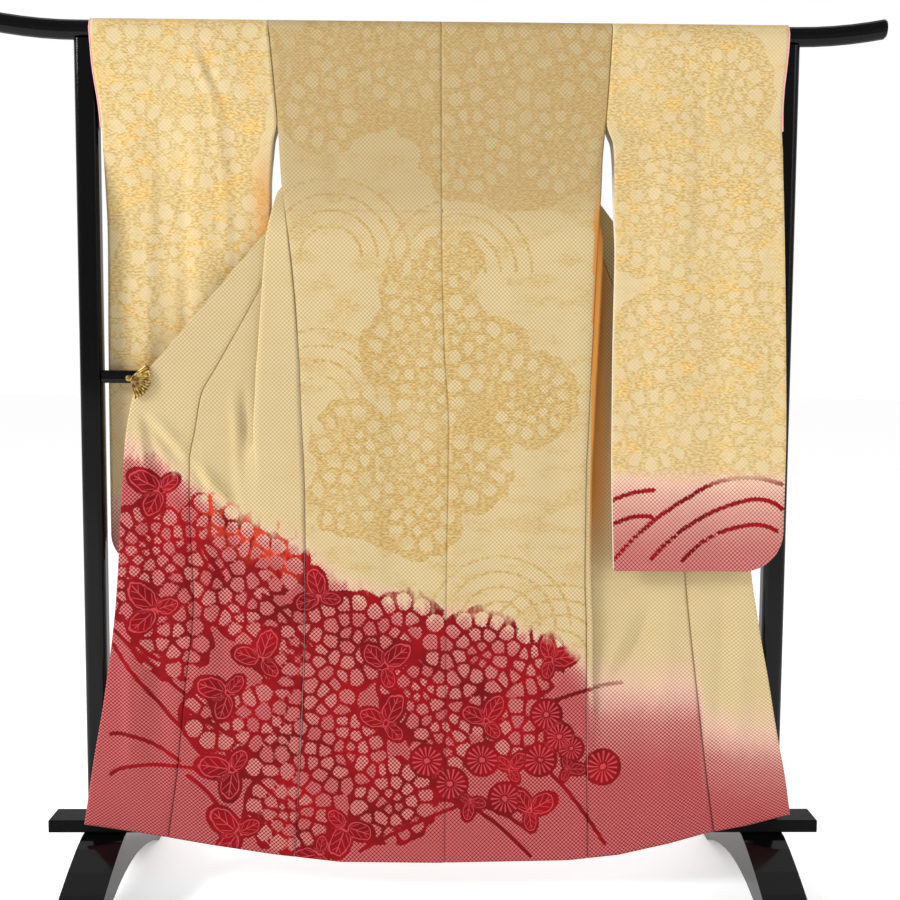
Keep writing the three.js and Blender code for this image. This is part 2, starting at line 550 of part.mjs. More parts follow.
// One jaw of a clip: an open fan with raised ribs, thin at its pivot.
function fanJaw(radius, thick, openFrom, openTo, steps) {
  const rim = spread(radians(openFrom), radians(openTo), steps);
  const front = rim.map((angle, k) => {
    const ripple = k % 2 ? 0 : 1.2;
    const long = radius * (k % 2 ? 0.97 : 1);
    return new THREE.Vector3(long * Math.cos(angle), -thick - ripple, long * Math.sin(angle));
  });
  const ring = (scale) => front.map((p) => new THREE.Vector3(
    p.x * scale, -thick + (p.y + thick) * scale, p.z * scale));
  const back = (scale) => front.map((p) => new THREE.Vector3(p.x * scale, 0, p.z * scale));
  const positions = [];
  const quad = (a, b, c, d) => [a, b, c, a, c, d].forEach((p) => positions.push(p.x, p.y, p.z));
  const scales = [0.12, 1];
  const [near, far] = scales.map(ring);
  const [nearBack, farBack] = scales.map(back);
  for (let k = 0; k < steps; k += 1) {
    quad(near[k], far[k], far[k + 1], near[k + 1]);
    quad(nearBack[k], nearBack[k + 1], farBack[k + 1], farBack[k]);
    quad(far[k], farBack[k], farBack[k + 1], far[k + 1]);
    quad(near[k], near[k + 1], nearBack[k + 1], nearBack[k]);
  }
  quad(near[0], nearBack[0], farBack[0], far[0]);
  quad(near[steps], far[steps], farBack[steps], nearBack[steps]);
  const geometry = new THREE.BufferGeometry();
  geometry.setAttribute('position', new THREE.Float32BufferAttribute(positions, 3));
  return mergeVertices(geometry, 1e-4);
}

// A mirrored mesh has its faces turned, so each triangle is written the other way.
function outwards(geometry) {
  const index = geometry.index.array;
  for (let k = 0; k < index.length; k += 3) [index[k + 1], index[k + 2]] = [index[k + 2], index[k + 1]];
  return geometry;
}

// ---- materials and assembly --------------------------------------------------------
const silk = (color) => new THREE.MeshStandardMaterial({ color, roughness: 0.72, metalness: 0 });
const finishes = {
  silk: () => silk(0xdccb9c),
  lining: () => silk(0xe59aa0),
  lacquer: () => new THREE.MeshStandardMaterial({ color: 0x08080a, roughness: 0.12, metalness: 0 }),
  board: () => new THREE.MeshStandardMaterial({ color: 0x2a2c2e, roughness: 0.4, metalness: 0 }),
  brass: () => new THREE.MeshStandardMaterial({ color: 0xb98a3a, roughness: 0.3, metalness: 1 }),
};
const furisode = new THREE.Group();
function add(name, geometry, finish, place = [0, 0, 0], turn = [0, 0, 0]) {
  const mesh = new THREE.Mesh(geometry, finishes[finish]());
  mesh.name = name;
  mesh.position.set(...place);
  mesh.rotation.set(...turn);
  furisode.add(mesh);
}

['left', 'right'].forEach((side) => {
  add(`body_${side}`, bodyStrip(side), 'silk');
  add(`okumi_${side}`, okumi(side), 'silk');
  add(`collar_${side}`, collar(side), 'silk');
  add(`sleeve_${side}`, sleeve(side), 'silk');
  add(`cuff_edge_${side}`, cuffEdge(side), 'lining');
});

const BAR_BOTTOM = BAR_TOP - BAR_HIGH;
const POST_GAP = 0.4;
const POST_LONG = BAR_BOTTOM - BOARD_TOP - 2 * POST_GAP;
add('top_bar', topBar(), 'lacquer');
['left', 'right'].forEach((side) => {
  const out = SIGN[side];
  add(`post_${side}`, roundedPlate(POST_WIDE, POST_DEEP, POST_ROUND, 4)(POST_LONG), 'lacquer',
    [out * POST_OUT, 0, BOARD_TOP + POST_GAP]);
  add(`foot_${side}`, foot(), 'lacquer', [out * FOOT_OUT, 0, 0]);
});
// Each arm reaches in from its upright to a clip whose two ribbed jaws hold the
// overlap's corner out. The cloth there is between the jaws.
const CLIPS = {
  left: { pivot: 586, high: 1030, cloth: -37.6, front: 2.4, back: 6, armY: -9 },
  right: { pivot: 597, high: 1033, cloth: 6, front: 5.4, back: 2.6, armY: -13 },
};
const ARM_DEEP = 18;
const ARM_ROUND = 8;
const ARM_PAST = 5;           // the arm's end past the clip's pivot
const JAW_THICK = 2.6;
const FAN_OPEN = [-75, 38];
['left', 'right'].forEach((side) => {
  const { pivot, high, cloth, front, back, armY } = CLIPS[side];
  const out = SIGN[side];
  const inner = POST_OUT - POST_WIDE / 2 - POST_GAP;
  const armLong = inner - pivot + ARM_PAST;
  add(`arm_${side}`, roundedPlate(ARM_THICK, ARM_DEEP, ARM_ROUND, 3)(armLong), 'lacquer',
    [out * (side === 'left' ? inner : inner - armLong), armY, ARM_HIGH], [0, Math.PI / 2, 0]);
  const turned = side === 'left' ? 0 : Math.PI;
  const toView = side === 'left' ? -1 : 1;
  const pinFrom = armY + toView * (ARM_DEEP / 2 + POST_GAP);
  const pinTo = cloth + toView * (Math.max(front, back) + JAW_THICK + 1.6);
  const pinLong = Math.abs(pinTo - pinFrom);
  const knob = [[0, 0], [3.4, 0], [3.4, pinLong], [6, pinLong + 0.6], [6, pinLong + 3.6], [4, pinLong + 5.2],
    [0, pinLong + 5.6]].map(([r, along]) => new THREE.Vector2(r, along));
  add(`clip_pin_${side}`, new THREE.LatheGeometry(knob, 14), 'brass',
    [out * pivot, pinFrom, high], [side === 'left' ? Math.PI : 0, 0, 0]);
  const jaws = [['front', -1, front], ['back', 1, back]];
  jaws.forEach(([name, way, clear]) => {
    const jaw = fanJaw(FAN_RADIUS, JAW_THICK, ...(turned ? [180 - FAN_OPEN[1], 180 - FAN_OPEN[0]] : FAN_OPEN),
      2 * FAN_RIBS);
    if (way > 0) jaw.rotateZ(Math.PI).scale(-1, 1, 1);
    const placed = way > 0 ? outwards(jaw) : jaw;
    add(`clip_${name}_${side}`, placed, 'brass', [out * pivot, cloth + way * clear, high]);
  });
});
const board = new THREE.BoxGeometry(2 * BOARD_END, BOARD_DEEP, BOARD_THICK);
add('base_board', board, 'board', [0, 0, BOARD_TOP - BOARD_THICK / 2]);

export default furisode;
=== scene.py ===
# %% [markdown]
# A furisode is a long-sleeved silk kimono. This one hangs back to the viewer over
# the bar of a lacquered stand. Each cell below makes one piece or one finish, from
# the frame that carries it to the dyed silk. The frame comes first, because every
# cloth piece hangs on it.

# %% Load the frame
import math
import random

import bmesh
import bpy
import numpy as np
from mathutils import Matrix, Vector


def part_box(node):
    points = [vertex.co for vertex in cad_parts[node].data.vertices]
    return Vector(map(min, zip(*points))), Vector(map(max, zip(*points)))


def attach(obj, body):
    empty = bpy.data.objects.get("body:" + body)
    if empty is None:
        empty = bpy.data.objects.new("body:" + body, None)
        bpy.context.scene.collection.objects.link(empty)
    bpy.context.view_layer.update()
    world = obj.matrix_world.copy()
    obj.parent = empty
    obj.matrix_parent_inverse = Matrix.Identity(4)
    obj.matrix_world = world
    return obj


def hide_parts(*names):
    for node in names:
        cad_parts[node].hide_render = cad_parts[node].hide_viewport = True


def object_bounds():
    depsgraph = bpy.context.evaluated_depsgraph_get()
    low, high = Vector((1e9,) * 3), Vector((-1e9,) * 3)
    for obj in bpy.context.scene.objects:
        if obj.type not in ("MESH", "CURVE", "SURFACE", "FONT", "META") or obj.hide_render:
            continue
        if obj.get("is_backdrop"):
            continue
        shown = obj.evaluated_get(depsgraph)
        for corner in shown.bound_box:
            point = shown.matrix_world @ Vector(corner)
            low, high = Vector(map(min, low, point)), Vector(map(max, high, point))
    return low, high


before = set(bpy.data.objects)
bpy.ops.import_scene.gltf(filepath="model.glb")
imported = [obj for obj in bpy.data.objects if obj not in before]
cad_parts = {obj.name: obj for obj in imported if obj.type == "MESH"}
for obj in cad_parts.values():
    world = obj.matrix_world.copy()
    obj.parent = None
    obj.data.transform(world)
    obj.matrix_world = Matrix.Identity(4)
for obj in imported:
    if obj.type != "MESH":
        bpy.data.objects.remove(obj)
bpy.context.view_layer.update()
print("frame:", len(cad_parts), "nodes")

# %% [markdown]
# The camera stands a little over two metres in front of the kimono, at chest
# height, and looks slightly down. A long lens would flatten the stand, and a short
# one would bend it: 46 mm on a 36 mm sensor is close to what the eye expects.

# %% Camera
CAMERA_AT = Vector((-0.009, -2.265, 1.07))
CAMERA_PITCH = math.radians(-4.5)
CAMERA_YAW = math.radians(0.9)
CAMERA_ROLL = math.radians(0.34)
LENS_MM = 46.3


def camera_axes(pitch, yaw, roll):
    forward = Vector((math.sin(yaw) * math.cos(pitch), math.cos(yaw) * math.cos(pitch), math.sin(pitch)))
    right = Vector((math.cos(yaw), -math.sin(yaw), 0.0))
    up = right.cross(forward)
    tilted = right * math.cos(roll) + up * math.sin(roll)
    return tilted, up * math.cos(roll) - right * math.sin(roll), -forward


camera = bpy.data.objects.new("camera", bpy.data.cameras.new("camera"))
camera.data.sensor_width = 36.0
camera.data.lens = LENS_MM
right, up, backward = camera_axes(CAMERA_PITCH, CAMERA_YAW, CAMERA_ROLL)
turn = Matrix((right, up, backward)).transposed().to_4x4()
camera.matrix_world = Matrix.Translation(CAMERA_AT) @ turn
bpy.context.scene.collection.objects.link(camera)
bpy.context.scene.camera = camera
print("camera at", tuple(CAMERA_AT))

# %% [markdown]
# Measured rows. A kimono is flat rectangles of cloth, so its hang is easiest to
# give as rows: at each height, how far out each edge and fold lies and how deep.
# A smooth curve through the rows, one that never overshoots, gives every height
# between. Distances are in millimetres here and become metres in the meshes.

# %% Tables of rows
MM = 0.001
SIGN = {"left": -1, "right": 1}
WALL = 2.0
SEAM_GAP = 0.3
FOLD_HALF = 3.0
HANG_TOP = 1690.0
WRAP_DEEP = 17.2
WRAP_HIGH = 19.6
HEM_LOW = 73.0
SIDE_SEAM_TOP = 1300.0
OKUMI_TIP = 1450.0
TUCK_AT = {"left": 1351.0, "right": 1356.0}


def rows_table(names, rows):
    """A function from heights to a dict of smooth columns."""
    data = np.array(rows, float)[::-1]
    heights = data[:, 0]
    step = np.diff(heights)
    slopes = np.diff(data, axis=0) / step[:, None]
    tangents = np.zeros_like(data)
    tangents[0], tangents[-1] = slopes[0], slopes[-1]
    before, after = slopes[:-1], slopes[1:]
    same = before * after > 0
    total = np.where(same, before + after, 1.0)
    tangents[1:-1] = np.where(same, 2 * before * after / total, 0.0)

    def at(z):
        z = np.clip(np.asarray(z, float), heights[0], heights[-1])
        k = np.clip(np.searchsorted(heights, z, side="right") - 1, 0, len(step) - 1)
        t = ((z - heights[k]) / step[k])[..., None]
        span = step[k][..., None]
        a, b = data[k], data[k + 1]
        m0, m1 = tangents[k] * span, tangents[k + 1] * span
        value = a + t * (m0 + t * ((3 * (b - a) - 2 * m0 - m1) + t * (m0 + m1 - 2 * (b - a))))
        return {name: value[..., c] for c, name in enumerate(names)}

    return at


BACK_DEPTH = rows_table(["z", "y"], [
    [1700, -17.2], [1600, -20], [1400, -21], [1000, -22], [600, -26], [300, -32], [160, -37], [60, -39]])
CENTRE_SEAM = rows_table(["z", "x"], [
    [1720, 5], [1278, 9], [1083, 15], [936, 24], [598, 21], [60, 21]])
FRONT_NAMES = ["z", "s", "sy", "a", "ay", "aturn", "b", "by", "bturn", "o", "oy", "e", "ey"]
FRONTS = {
    "left": rows_table(FRONT_NAMES, [
        [1700, 323, 17, 240, 17, 180, 92, 17, 180, 70, 17, 70, 17],
        [1620, 315, 17, 232, 17, 180, 84, 20, 90, 110, 26, 110, 26],
        [1530, 307, 15, 222, 17, 180, 96, 20, 90, 162, 25, 162, 25],
        [1484, 303, 12, 224, 16, 180, 110, 19, 90, 188, 23, 189, 23],
        [1430, 300, 4, 262, 10, 170, 128, 17, 90, 217, 19, 233, 19],
        [1390, 297, -5, 304, 3, 130, 146, 15, 90, 239, 15, 266, 14],
        [1345, 291, -15, 317, -8, 95, 176, 9, 90, 264, 6, 303, 3],
        [1300, 286, -20.8, 326, -13, 90, 206, 3, 90, 288, -3, 340, -6],
        [1237, 279, -21.3, 331, -18, 90, 228, -5, 90, 323, -9, 393, -14],
        [1150, 272, -21.6, 337, -21, 90, 262, -9, 90, 370, -14, 465, -25],
        [1080, 268, -21.8, 342, -23, 90, 290, -12, 90, 409, -20, 523, -34],
        [1046, 266, -21.9, 345, -24, 90, 305, -13, 90, 428, -23, 552, -38],
        [1000, 265, -22, 347, -25, 90, 322, -14.5, 90, 453, -26, 580, -37],
        [930, 262, -22.4, 351, -25, 80, 344, -17, 60, 466, -27, 596, -35],
        [870, 259, -23, 349, -25, 20, 367, -21, 10, 477, -27, 603, -34],
        [800, 257, -23.7, 346, -25, 0, 368, -24, 0, 478, -28, 608, -34],
        [600, 256, -26, 340, -27, 0, 364, -27, 0, 472, -29, 621, -36],
        [400, 261, -30, 340, -31, 0, 366, -31, 0, 491, -33, 645, -38],
        [230, 269, -34.5, 346, -35, 0, 374, -35, 0, 506, -37, 670, -41],
        [60, 277, -39, 354, -40, 0, 384, -40, 0, 526, -41, 690, -44],
    ]),
    "right": rows_table(FRONT_NAMES, [
        [1700, 331, 17, 248, 17, 180, 102, 17, 180, 80, 17, 80, 17],
        [1620, 327, 17, 240, 17, 180, 96, 20, 90, 132, 26, 132, 26],
        [1540, 322, 16, 236, 17, 180, 116, 20, 90, 193, 26, 193, 26],
        [1502, 319, 14, 234, 17, 180, 124, 20, 90, 221, 25, 222, 25],
        [1450, 315, 9, 236, 16, 180, 134, 20, 90, 244, 25, 260, 25],
        [1390, 313.5, -3, 262, 12, 160, 150, 19, 90, 271, 24, 305, 24],
        [1345, 311.5, -15, 303, -3, 120, 166, 17, 90, 290, 22, 339, 21],
        [1300, 309.5, -20.8, 316, -14, 92, 182, 12, 90, 310, 19, 373, 18],
        [1213, 306, -21.4, 314, -17, 90, 208, 3, 90, 346, 14, 438, 15],
        [1100, 302, -21.8, 310, -18, 90, 236, -2, 90, 402, 9, 523, 10],
        [1050, 300, -21.9, 308, -18, 90, 250, -4, 90, 428, 7, 560, 6],
        [997, 298, -22, 306, -18, 90, 262, -5, 90, 452, 5, 585, 4],
        [930, 296, -22.4, 304, -18.5, 90, 270, -6, 90, 470, 3, 599, 2],
        [844, 293, -23.2, 301, -19.5, 90, 273, -8, 90, 482, 1, 608, -1],
        [655, 293, -25.4, 301, -22, 90, 279, -11, 90, 492, -5, 623, -12],
        [549, 297, -27, 305, -24, 90, 286, -14, 90, 502, -12, 637, -24],
        [423, 299, -29.6, 308, -27, 60, 302, -20, 60, 516, -20, 658, -31],
        [300, 301, -32, 314, -32, 10, 332, -30, 10, 529, -26, 676, -35],
        [180, 303, -36.2, 318, -36, 0, 340, -35, 0, 542, -32, 694, -39],
        [60, 305, -39, 322, -39, 0, 346, -39, 0, 556, -38, 706, -43],
    ]),
}
SLEEVE_NAMES = ["z", "inner", "outer", "near", "far", "far_outer", "far_edge"]
SLEEVES = {
    "left": rows_table(SLEEVE_NAMES, [
        [1700, 323, 658, -17.2, 17.2, 658, 17.2],
        [1668, 319, 655, -22, 20, 655, 22],
        [1618, 315.5, 651, -23, 18, 651, 23],
        [1530, 308.5, 640, -19, 18, 640, 19],
        [1480, 314, 638, -12, 18, 638, 18],
        [1400, 321, 637, -1, 19, 637, 19],
        [1320, 322, 637, 9, 21, 637, 21],
        [1083, 322, 640, 12, 24, 640, 24],
        [768, 320, 641, 12, 24, 641, 24],
        [650, 319, 641, 13, 23, 641, 23],
    ]),
    "right": rows_table(SLEEVE_NAMES, [
        [1700, 331, 666, -17.2, 17.2, 666, 17.2],
        [1668, 329.5, 664, -22.5, 18, 664, 23.5],
        [1620, 327.5, 660, -23.5, 18, 645, 23],
        [1580, 325, 656, -25, 17, 641, 16],
        [1538, 323, 654, -28, 15, 641, 2],
        [1505, 328, 654, -31, 10, 641, -14],
        [1478, 332, 655, -33.5, 4, 648, -24.5],
        [1440, 334.5, 656, -36, -3, 656, -26],
        [1367, 336, 659, -39, -12, 659, -28],
        [1270, 340, 663, -41, -20, 663, -29],
        [1087, 338, 670, -42, -27, 670, -30],
        [889, 339, 675, -43, -29, 675, -31],
        [650, 346, 674, -44, -31, 674, -32],
    ]),
}
SLEEVE_LOW = {"left": 659.0, "right": 661.0}
SLEEVE_ROUND = {"left": 62.0, "right": 76.0}
WRIST_LOW = 1478.0
ARMHOLE_LOW = 1530.0
SLEEVE_START = 0.45
HEM_RISE = {
    "left": ([0, 186, 312, 438, 573, 690], [0, 2, 17, 37, 62, 81]),
    "right": ([0, 265, 366, 467, 537, 619, 700], [0, 5, 16, 39, 59, 76, 99]),
}
print("rows ready for", ", ".join(FRONTS), "and the sleeves")

# %% [markdown]
# Folds. Hanging silk is never quite flat: broad soft troughs run down each panel,
# and finer creases lie over them. Each fold is a row: where it runs, how wide and
# how deep it is, and between which heights it comes and goes. The broad ones are
# those of the frame's own solids, and the fine ones are added to the shells.

# %% Fold tables
# Each fold: at, wide, deep, top, low, and a sixth value for a fold that leans.
BROAD_FOLDS = {
    "back_left": [[60, 60, 3, 1250, 500], [150, 45, -3, 1250, 700], [215, 40, 3, 700, 200]],
    "back_right": [[90, 60, 3, 1200, 450], [180, 45, -3, 1000, 300], [245, 36, 3, 1250, 800]],
    "front_left": [[410, 34, 5, 900, 240], [440, 30, -4, 900, 300]],
    "front_right": [[400, 40, 4, 800, 200], [455, 32, -4, 640, 200]],
    "okumi_left": [[545, 30, 5, 900, 260], [585, 26, -4, 820, 300]],
    "okumi_right": [[565, 30, 4, 700, 200], [600, 30, -3, 600, 200]],
    "sleeve_left": [[380, 26, 4, 1560, 700], [450, 34, -4, 1600, 760], [530, 30, 4, 1600, 760],
                    [590, 24, -3, 1600, 820]],
    "sleeve_right": [[385, 28, 4, 1500, 720], [460, 36, -4, 1600, 760], [540, 34, 4, 1500, 720],
                     [610, 30, -4, 1600, 760]],
}
FINE_FOLDS = {
    "back_left": [[30, 16, 1.2, 1650, 1380, 0.04], [110, 14, -1.2, 1000, 640],
        [190, 15, 1.4, 1640, 1400, -0.05], [240, 13, 1.4, 1240, 860], [262, 10, -1.4, 900, 500],
        [80, 18, 1.3, 640, 300, 0.08]],
    "back_right": [[40, 14, 1.2, 1660, 1400, -0.06], [140, 15, -1.3, 1300, 900],
        [215, 14, 1.4, 1640, 1420], [272, 12, -1.6, 1200, 640], [60, 16, 1.2, 640, 260],
        [230, 16, 1.5, 560, 240, 0.1]],
    "front_left": [[485, 15, -6.5, 985, 790, 0.84], [516, 14, 6.0, 985, 810, 0.84],
        [372, 10, 7.5, 1120, 860, 0.06], [392, 9, -4.0, 1100, 880, 0.06],
        [385, 16, 4.2, 900, 640, 0.14], [430, 14, -4.6, 960, 560, 0.24], [455, 14, 5.0, 1000, 680, 0.2],
        [400, 14, -2.0, 560, 260], [440, 14, 2.0, 480, 200, -0.08]],
    "front_right": [[418, 22, 8.5, 640, 470, 0.55], [372, 22, -7.0, 600, 440, 0.5],
        [470, 18, -4.0, 640, 420, 0.2], [345, 16, 2.0, 420, 220], [430, 22, 2.2, 380, 160, -0.1]],
    "okumi_left": [[485, 15, -6.5, 985, 790, 0.84], [516, 14, 6.0, 985, 810, 0.84],
        [500, 12, -3.6, 860, 600, 0.1], [545, 12, 5.0, 1000, 760, 0.3], [600, 10, -2.8, 640, 300],
        [540, 14, 2.2, 560, 260, 0.1], [572, 11, -4.5, 1020, 840, 0.1]],
    "okumi_right": [[568, 13, 3.0, 640, 300, 0.06], [606, 16, -3.4, 640, 320, 0.08],
        [642, 11, 2.6, 600, 300, 0.1], [600, 14, 1.8, 300, 140]],
    "sleeve_left": [[350, 11, 2.6, 1500, 1180, 0.03], [415, 12, -2.2, 1640, 1300, 0.05],
        [490, 13, 2.4, 1500, 900], [560, 11, -2.4, 1460, 940, -0.03], [615, 10, 2.0, 1560, 1100],
        [430, 13, 2.2, 1150, 760], [462, 9, -3.0, 1690, 1610, 0.35], [440, 10, 3.0, 1690, 1590, 0.35],
        [380, 9, -2.0, 1400, 1000]],
    "sleeve_right": [[365, 11, 2.2, 1420, 1000, 0.02], [425, 13, -2.2, 1500, 1100],
        [500, 13, 2.2, 1640, 1240, 0.04], [575, 12, -2.0, 1300, 860], [640, 11, 2.2, 1560, 900, -0.02],
        [470, 13, 2.0, 1000, 740], [620, 9, 2.4, 1680, 1560, -0.2], [540, 9, -2.0, 1690, 1600, 0.2]],
}


def soft(value):
    t = np.clip(value, 0.0, 1.0)
    return t * t * (3 - 2 * t)


def fold_depth(tables, name, out, z, ease=140.0):
    depth = np.zeros_like(out)
    for at, wide, deep, top, low, *lean in tables[name]:
        along = soft((top - z) / ease) * soft((z - low) / ease + 1)
        middle = at + (lean[0] if lean else 0) * (z - (top + low) / 2)
        depth += deep * np.exp(-(((out - middle) / wide) ** 2)) * along
    return depth


def all_folds(name, out, z):
    strength = 1.4 if name.startswith("sleeve") else 1.0
    return fold_depth(BROAD_FOLDS, name, out, z) + strength * fold_depth(FINE_FOLDS, name, out, z, 90.0)


def hem_lift(side, out, z):
    rise = np.interp(out, *HEM_RISE[side])
    return rise * np.clip((700 - z) / (700 - HEM_LOW), 0, 1) ** 2


print("folds:", sum(len(rows) for rows in BROAD_FOLDS.values()), "broad and",
      sum(len(rows) for rows in FINE_FOLDS.values()), "fine")

# %% [markdown]
# A sheet becomes a wall. Silk with its lining is a thin wall, so a surface with one
# layer of faces would look like paper from the edge. Every point moves half the
# thickness to both sides along its own normal, and each free edge is closed with a
# rim. Solidify could do this too, but doing it here keeps the dye's masks, which
# every point of the sheet carries, on both faces.

# %% The wall maker
# Which of a wall's two faces is the lining: the collar shows dyed silk on both.
LINED_FACE = {"body": (1.0, 0.0), "sleeve": (1.0, 0.0), "okumi": (0.0, 1.0), "collar": (0.0, 0.0)}
NO_SEAM = 50.0  # further from any seam than its shade reaches
CROWN_DEEP, CROWN_WIDE = 1.4, 5.0  # the cloth's rise beside a seam


def cell_grid(rows, columns, keep=None):
    i, j = np.meshgrid(np.arange(rows - 1), np.arange(columns - 1), indexing="ij")
    if keep is not None:
        chosen = keep(i, j)
        i, j = i[chosen], j[chosen]
    a = (i * columns + j).ravel()
    return np.stack([a, a + columns, a + columns + 1, a + 1], axis=1)


def point_normals(points, cells):
    p = points[cells]
    normal = np.cross(p[:, 2] - p[:, 0], p[:, 3] - p[:, 1])
    normal /= np.maximum(np.linalg.norm(normal, axis=1, keepdims=True), 1e-9)
    total = np.zeros_like(points)
    for corner in range(4):
        np.add.at(total, cells[:, corner], normal)
    return total / np.maximum(np.linalg.norm(total, axis=1, keepdims=True), 1e-9)


def free_edges(cells):
    start = cells.ravel()
    end = np.roll(cells, -1, axis=1).ravel()
    count = int(cells.max()) + 1
    forward = start.astype(np.int64) * count + end
    back = end.astype(np.int64) * count + start
    alone = ~np.isin(forward, back)
    return start[alone], end[alone]


def wall_object(name, points, cloth, cells, seam=None, thickness=WALL, dye=True):
    """One closed cloth wall: points in millimetres, cloth is the lie of the weave."""
    used, flat = np.unique(cells, return_inverse=True)
    cells = flat.reshape(cells.shape)
    points, cloth = points[used], cloth[used]
    normals = point_normals(points, cells)
    outer = points + normals * thickness / 2
    inner = points - normals * thickness / 2
    shift = len(points)
    start, end = free_edges(cells)
    rim = np.stack([start, start + shift, end + shift, end], axis=1)
    faces = np.concatenate([cells, cells[:, ::-1] + shift, rim])
    mesh = bpy.data.meshes.new(name)
    mesh.from_pydata((np.concatenate([outer, inner]) * MM).tolist(), [], faces.tolist())
    mesh.polygons.foreach_set("use_smooth", np.ones(len(faces), bool))
    both = np.concatenate([cloth, cloth])
    uv = mesh.uv_layers.new(name="cloth")
    loops = np.zeros(len(mesh.loops), np.int32)
    mesh.loops.foreach_get("vertex_index", loops)
    uv.data.foreach_set("uv", (both[loops] * MM).astype(np.float32).ravel())
    if dye:
        sewn = np.full(len(points), NO_SEAM) if seam is None else seam.ravel()[used]
        for layer, values in dye_masks(name, points * MM, sewn).items():
            attribute = mesh.attributes.new(layer, "FLOAT_VECTOR", "POINT")
            twice = np.concatenate([values, values]).astype(np.float32)
            attribute.data.foreach_set("vector", twice.ravel())
        lined = np.repeat(LINED_FACE[name.split("_")[1]], shift)
        reverse = mesh.attributes.new("reverse", "FLOAT", "POINT")
        reverse.data.foreach_set("value", lined.astype(np.float32))
    mesh.update()
    piece = bpy.data.objects.new(name, mesh)
    bpy.context.scene.collection.objects.link(piece)
    print(name, len(faces) * 2, "triangles")
    return piece


def cloth_wall(name, side, grid, lie, cells, seam=None, turned="left", dye=True):
    """A wall from a grid of points; the mirrored side's cells run the other way."""
    if side == turned:
        cells = cells[:, ::-1]
    return wall_object(f"{name}_{side}", grid.reshape(-1, 3), lie.reshape(-1, 2), cells, seam, dye=dye)

# %% [markdown]
# The design. Shibori is resist dyeing: thousands of tiny tied points stay pale while
# the bath colours the rest. So the design is drawn as centres and radii on the
# hanging robe: big chrysanthemums, small round ones, leaves and wave lines. A
# traditional chrysanthemum is rings of petals round a centre, so a ring rule turns
# each centre into petals, and each petal owns the cloth nearest to it. What stays
# between two petals is the red line between them.

# %% Motif places
def in_metres(rows):
    return [tuple(value / 1000 for value in row) for row in rows]


# Millimetres on the robe, seen from the front of the stand: x, z, radius.
RED_FLOWERS = in_metres([
    (-556, 706, 77), (-430, 648, 93), (-516, 519, 70), (-373, 579, 58), (-266, 499, 85),
    (-312, 337, 97), (-168, 519, 89), (-180, 295, 81), (-26, 420, 81), (-60, 540, 73), (87, 490, 85),
    (186, 480, 66), (-287, 179, 81), (-85, 197, 81), (-427, 369, 66), (-227, 399, 66), (59, 400, 66),
    (10, 309, 58), (168, 339, 66), (-330, 690, 75), (-440, 745, 60), (-600, 620, 55),
])
GOLD_FLOWERS = in_metres([
    (-73, 1632, 85), (117, 1597, 104), (232, 1467, 77), (-167, 1668, 77), (61, 1466, 81),
    (258, 1635, 70), (-224, 1538, 70), (-71, 1087, 66), (25, 1125, 66), (102, 1068, 70), (180, 992, 77),
    (-13, 991, 66), (-71, 855, 85), (-167, 913, 66), (65, 855, 70), (-187, 796, 58), (-31, 757, 66),
    (-52, 1201, 50), (24, 1259, 50), (419, 1636, 80), (535, 1582, 80), (461, 1469, 80), (578, 1395, 80),
    (407, 1318, 80), (524, 1243, 80), (623, 1129, 80), (430, 1109, 80), (549, 994, 80), (414, 935, 80),
    (609, 916, 70), (-580, 1627, 70), (-467, 1628, 70), (-374, 1629, 70), (-563, 1479, 70),
    (-451, 1461, 70), (-376, 1312, 70), (-528, 1292, 70), (-435, 1142, 70), (-569, 1141, 70),
])
ROUND_FLOWERS = in_metres([
    (219, 371, 31), (245, 327, 29), (207, 281, 33), (93, 281, 33), (32, 232, 33), (-16, 278, 33),
    (139, 203, 33), (332, 266, 35), (269, 303, 25),
])
# x, z, size and the way the middle lobe points, in degrees from straight up.
LEAVES = [(x / 1000, z / 1000, size / 1000, angle) for x, z, size, angle in (
    (-535, 814, 46, 60), (-548, 578, 50, 40), (-342, 479, 46, -20), (-407, 413, 46, 70),
    (-226, 603, 42, 15), (-101, 466, 46, -50), (-97, 353, 46, -25), (-399, 260, 50, 80),
    (-388, 134, 50, 50), (-176, 146, 46, 160), (-228, 91, 39, 100), (100, 357, 42, -30),
    (187, 177, 42, -60), (225, 480, 39, -80), (70, 197, 27, 170), (150, 262, 30, -40),
    (262, 262, 26, -90),
)]
# Each line runs through three points, given as x and z in turn.
RED_LINES = in_metres([
    (232, 250, 279, 197, 338, 111), (-148, 97, -49, 148, 40, 185), (10, 199, 90, 175, 190, 87),
    (40, 187, 110, 183, 180, 142), (-625, 540, -558, 472, -488, 410), (-628, 512, -572, 430, -497, 345),
    (-497, 345, -462, 298, -425, 276), (-635, 334, -580, 326, -502, 279),
    (-636, 254, -580, 271, -467, 263), (-486, 250, -450, 217, -411, 168),
    (-493, 386, -441, 353, -401, 328), (-339, 609, -296, 569, -248, 505),
    (-457, 709, -434, 669, -414, 641), (-609, 569, -563, 492, -507, 478),
    (225, 395, 300, 420, 370, 432),
])
SLEEVE_LINES = in_metres([
    (344, 682, 419, 757, 490, 806), (490, 806, 577, 843, 668, 832), (418, 684, 491, 751, 589, 797),
    (589, 797, 635, 801, 672, 783), (479, 682, 535, 728, 606, 752), (606, 752, 635, 751, 663, 740),
    (342, 799, 379, 813, 422, 819), (345, 753, 380, 766, 417, 768), (-620, 700, -540, 760, -440, 780),
    (-560, 680, -480, 725, -380, 730),
])
GOLD_ARCS = in_metres([
    (-225, 985, 140), (42, 1235, 140), (243, 480, 150), (-205, 1262, 150), (125, 545, 140),
    (560, 1020, 120), (-480, 1010, 140), (-600, 960, 110),
])
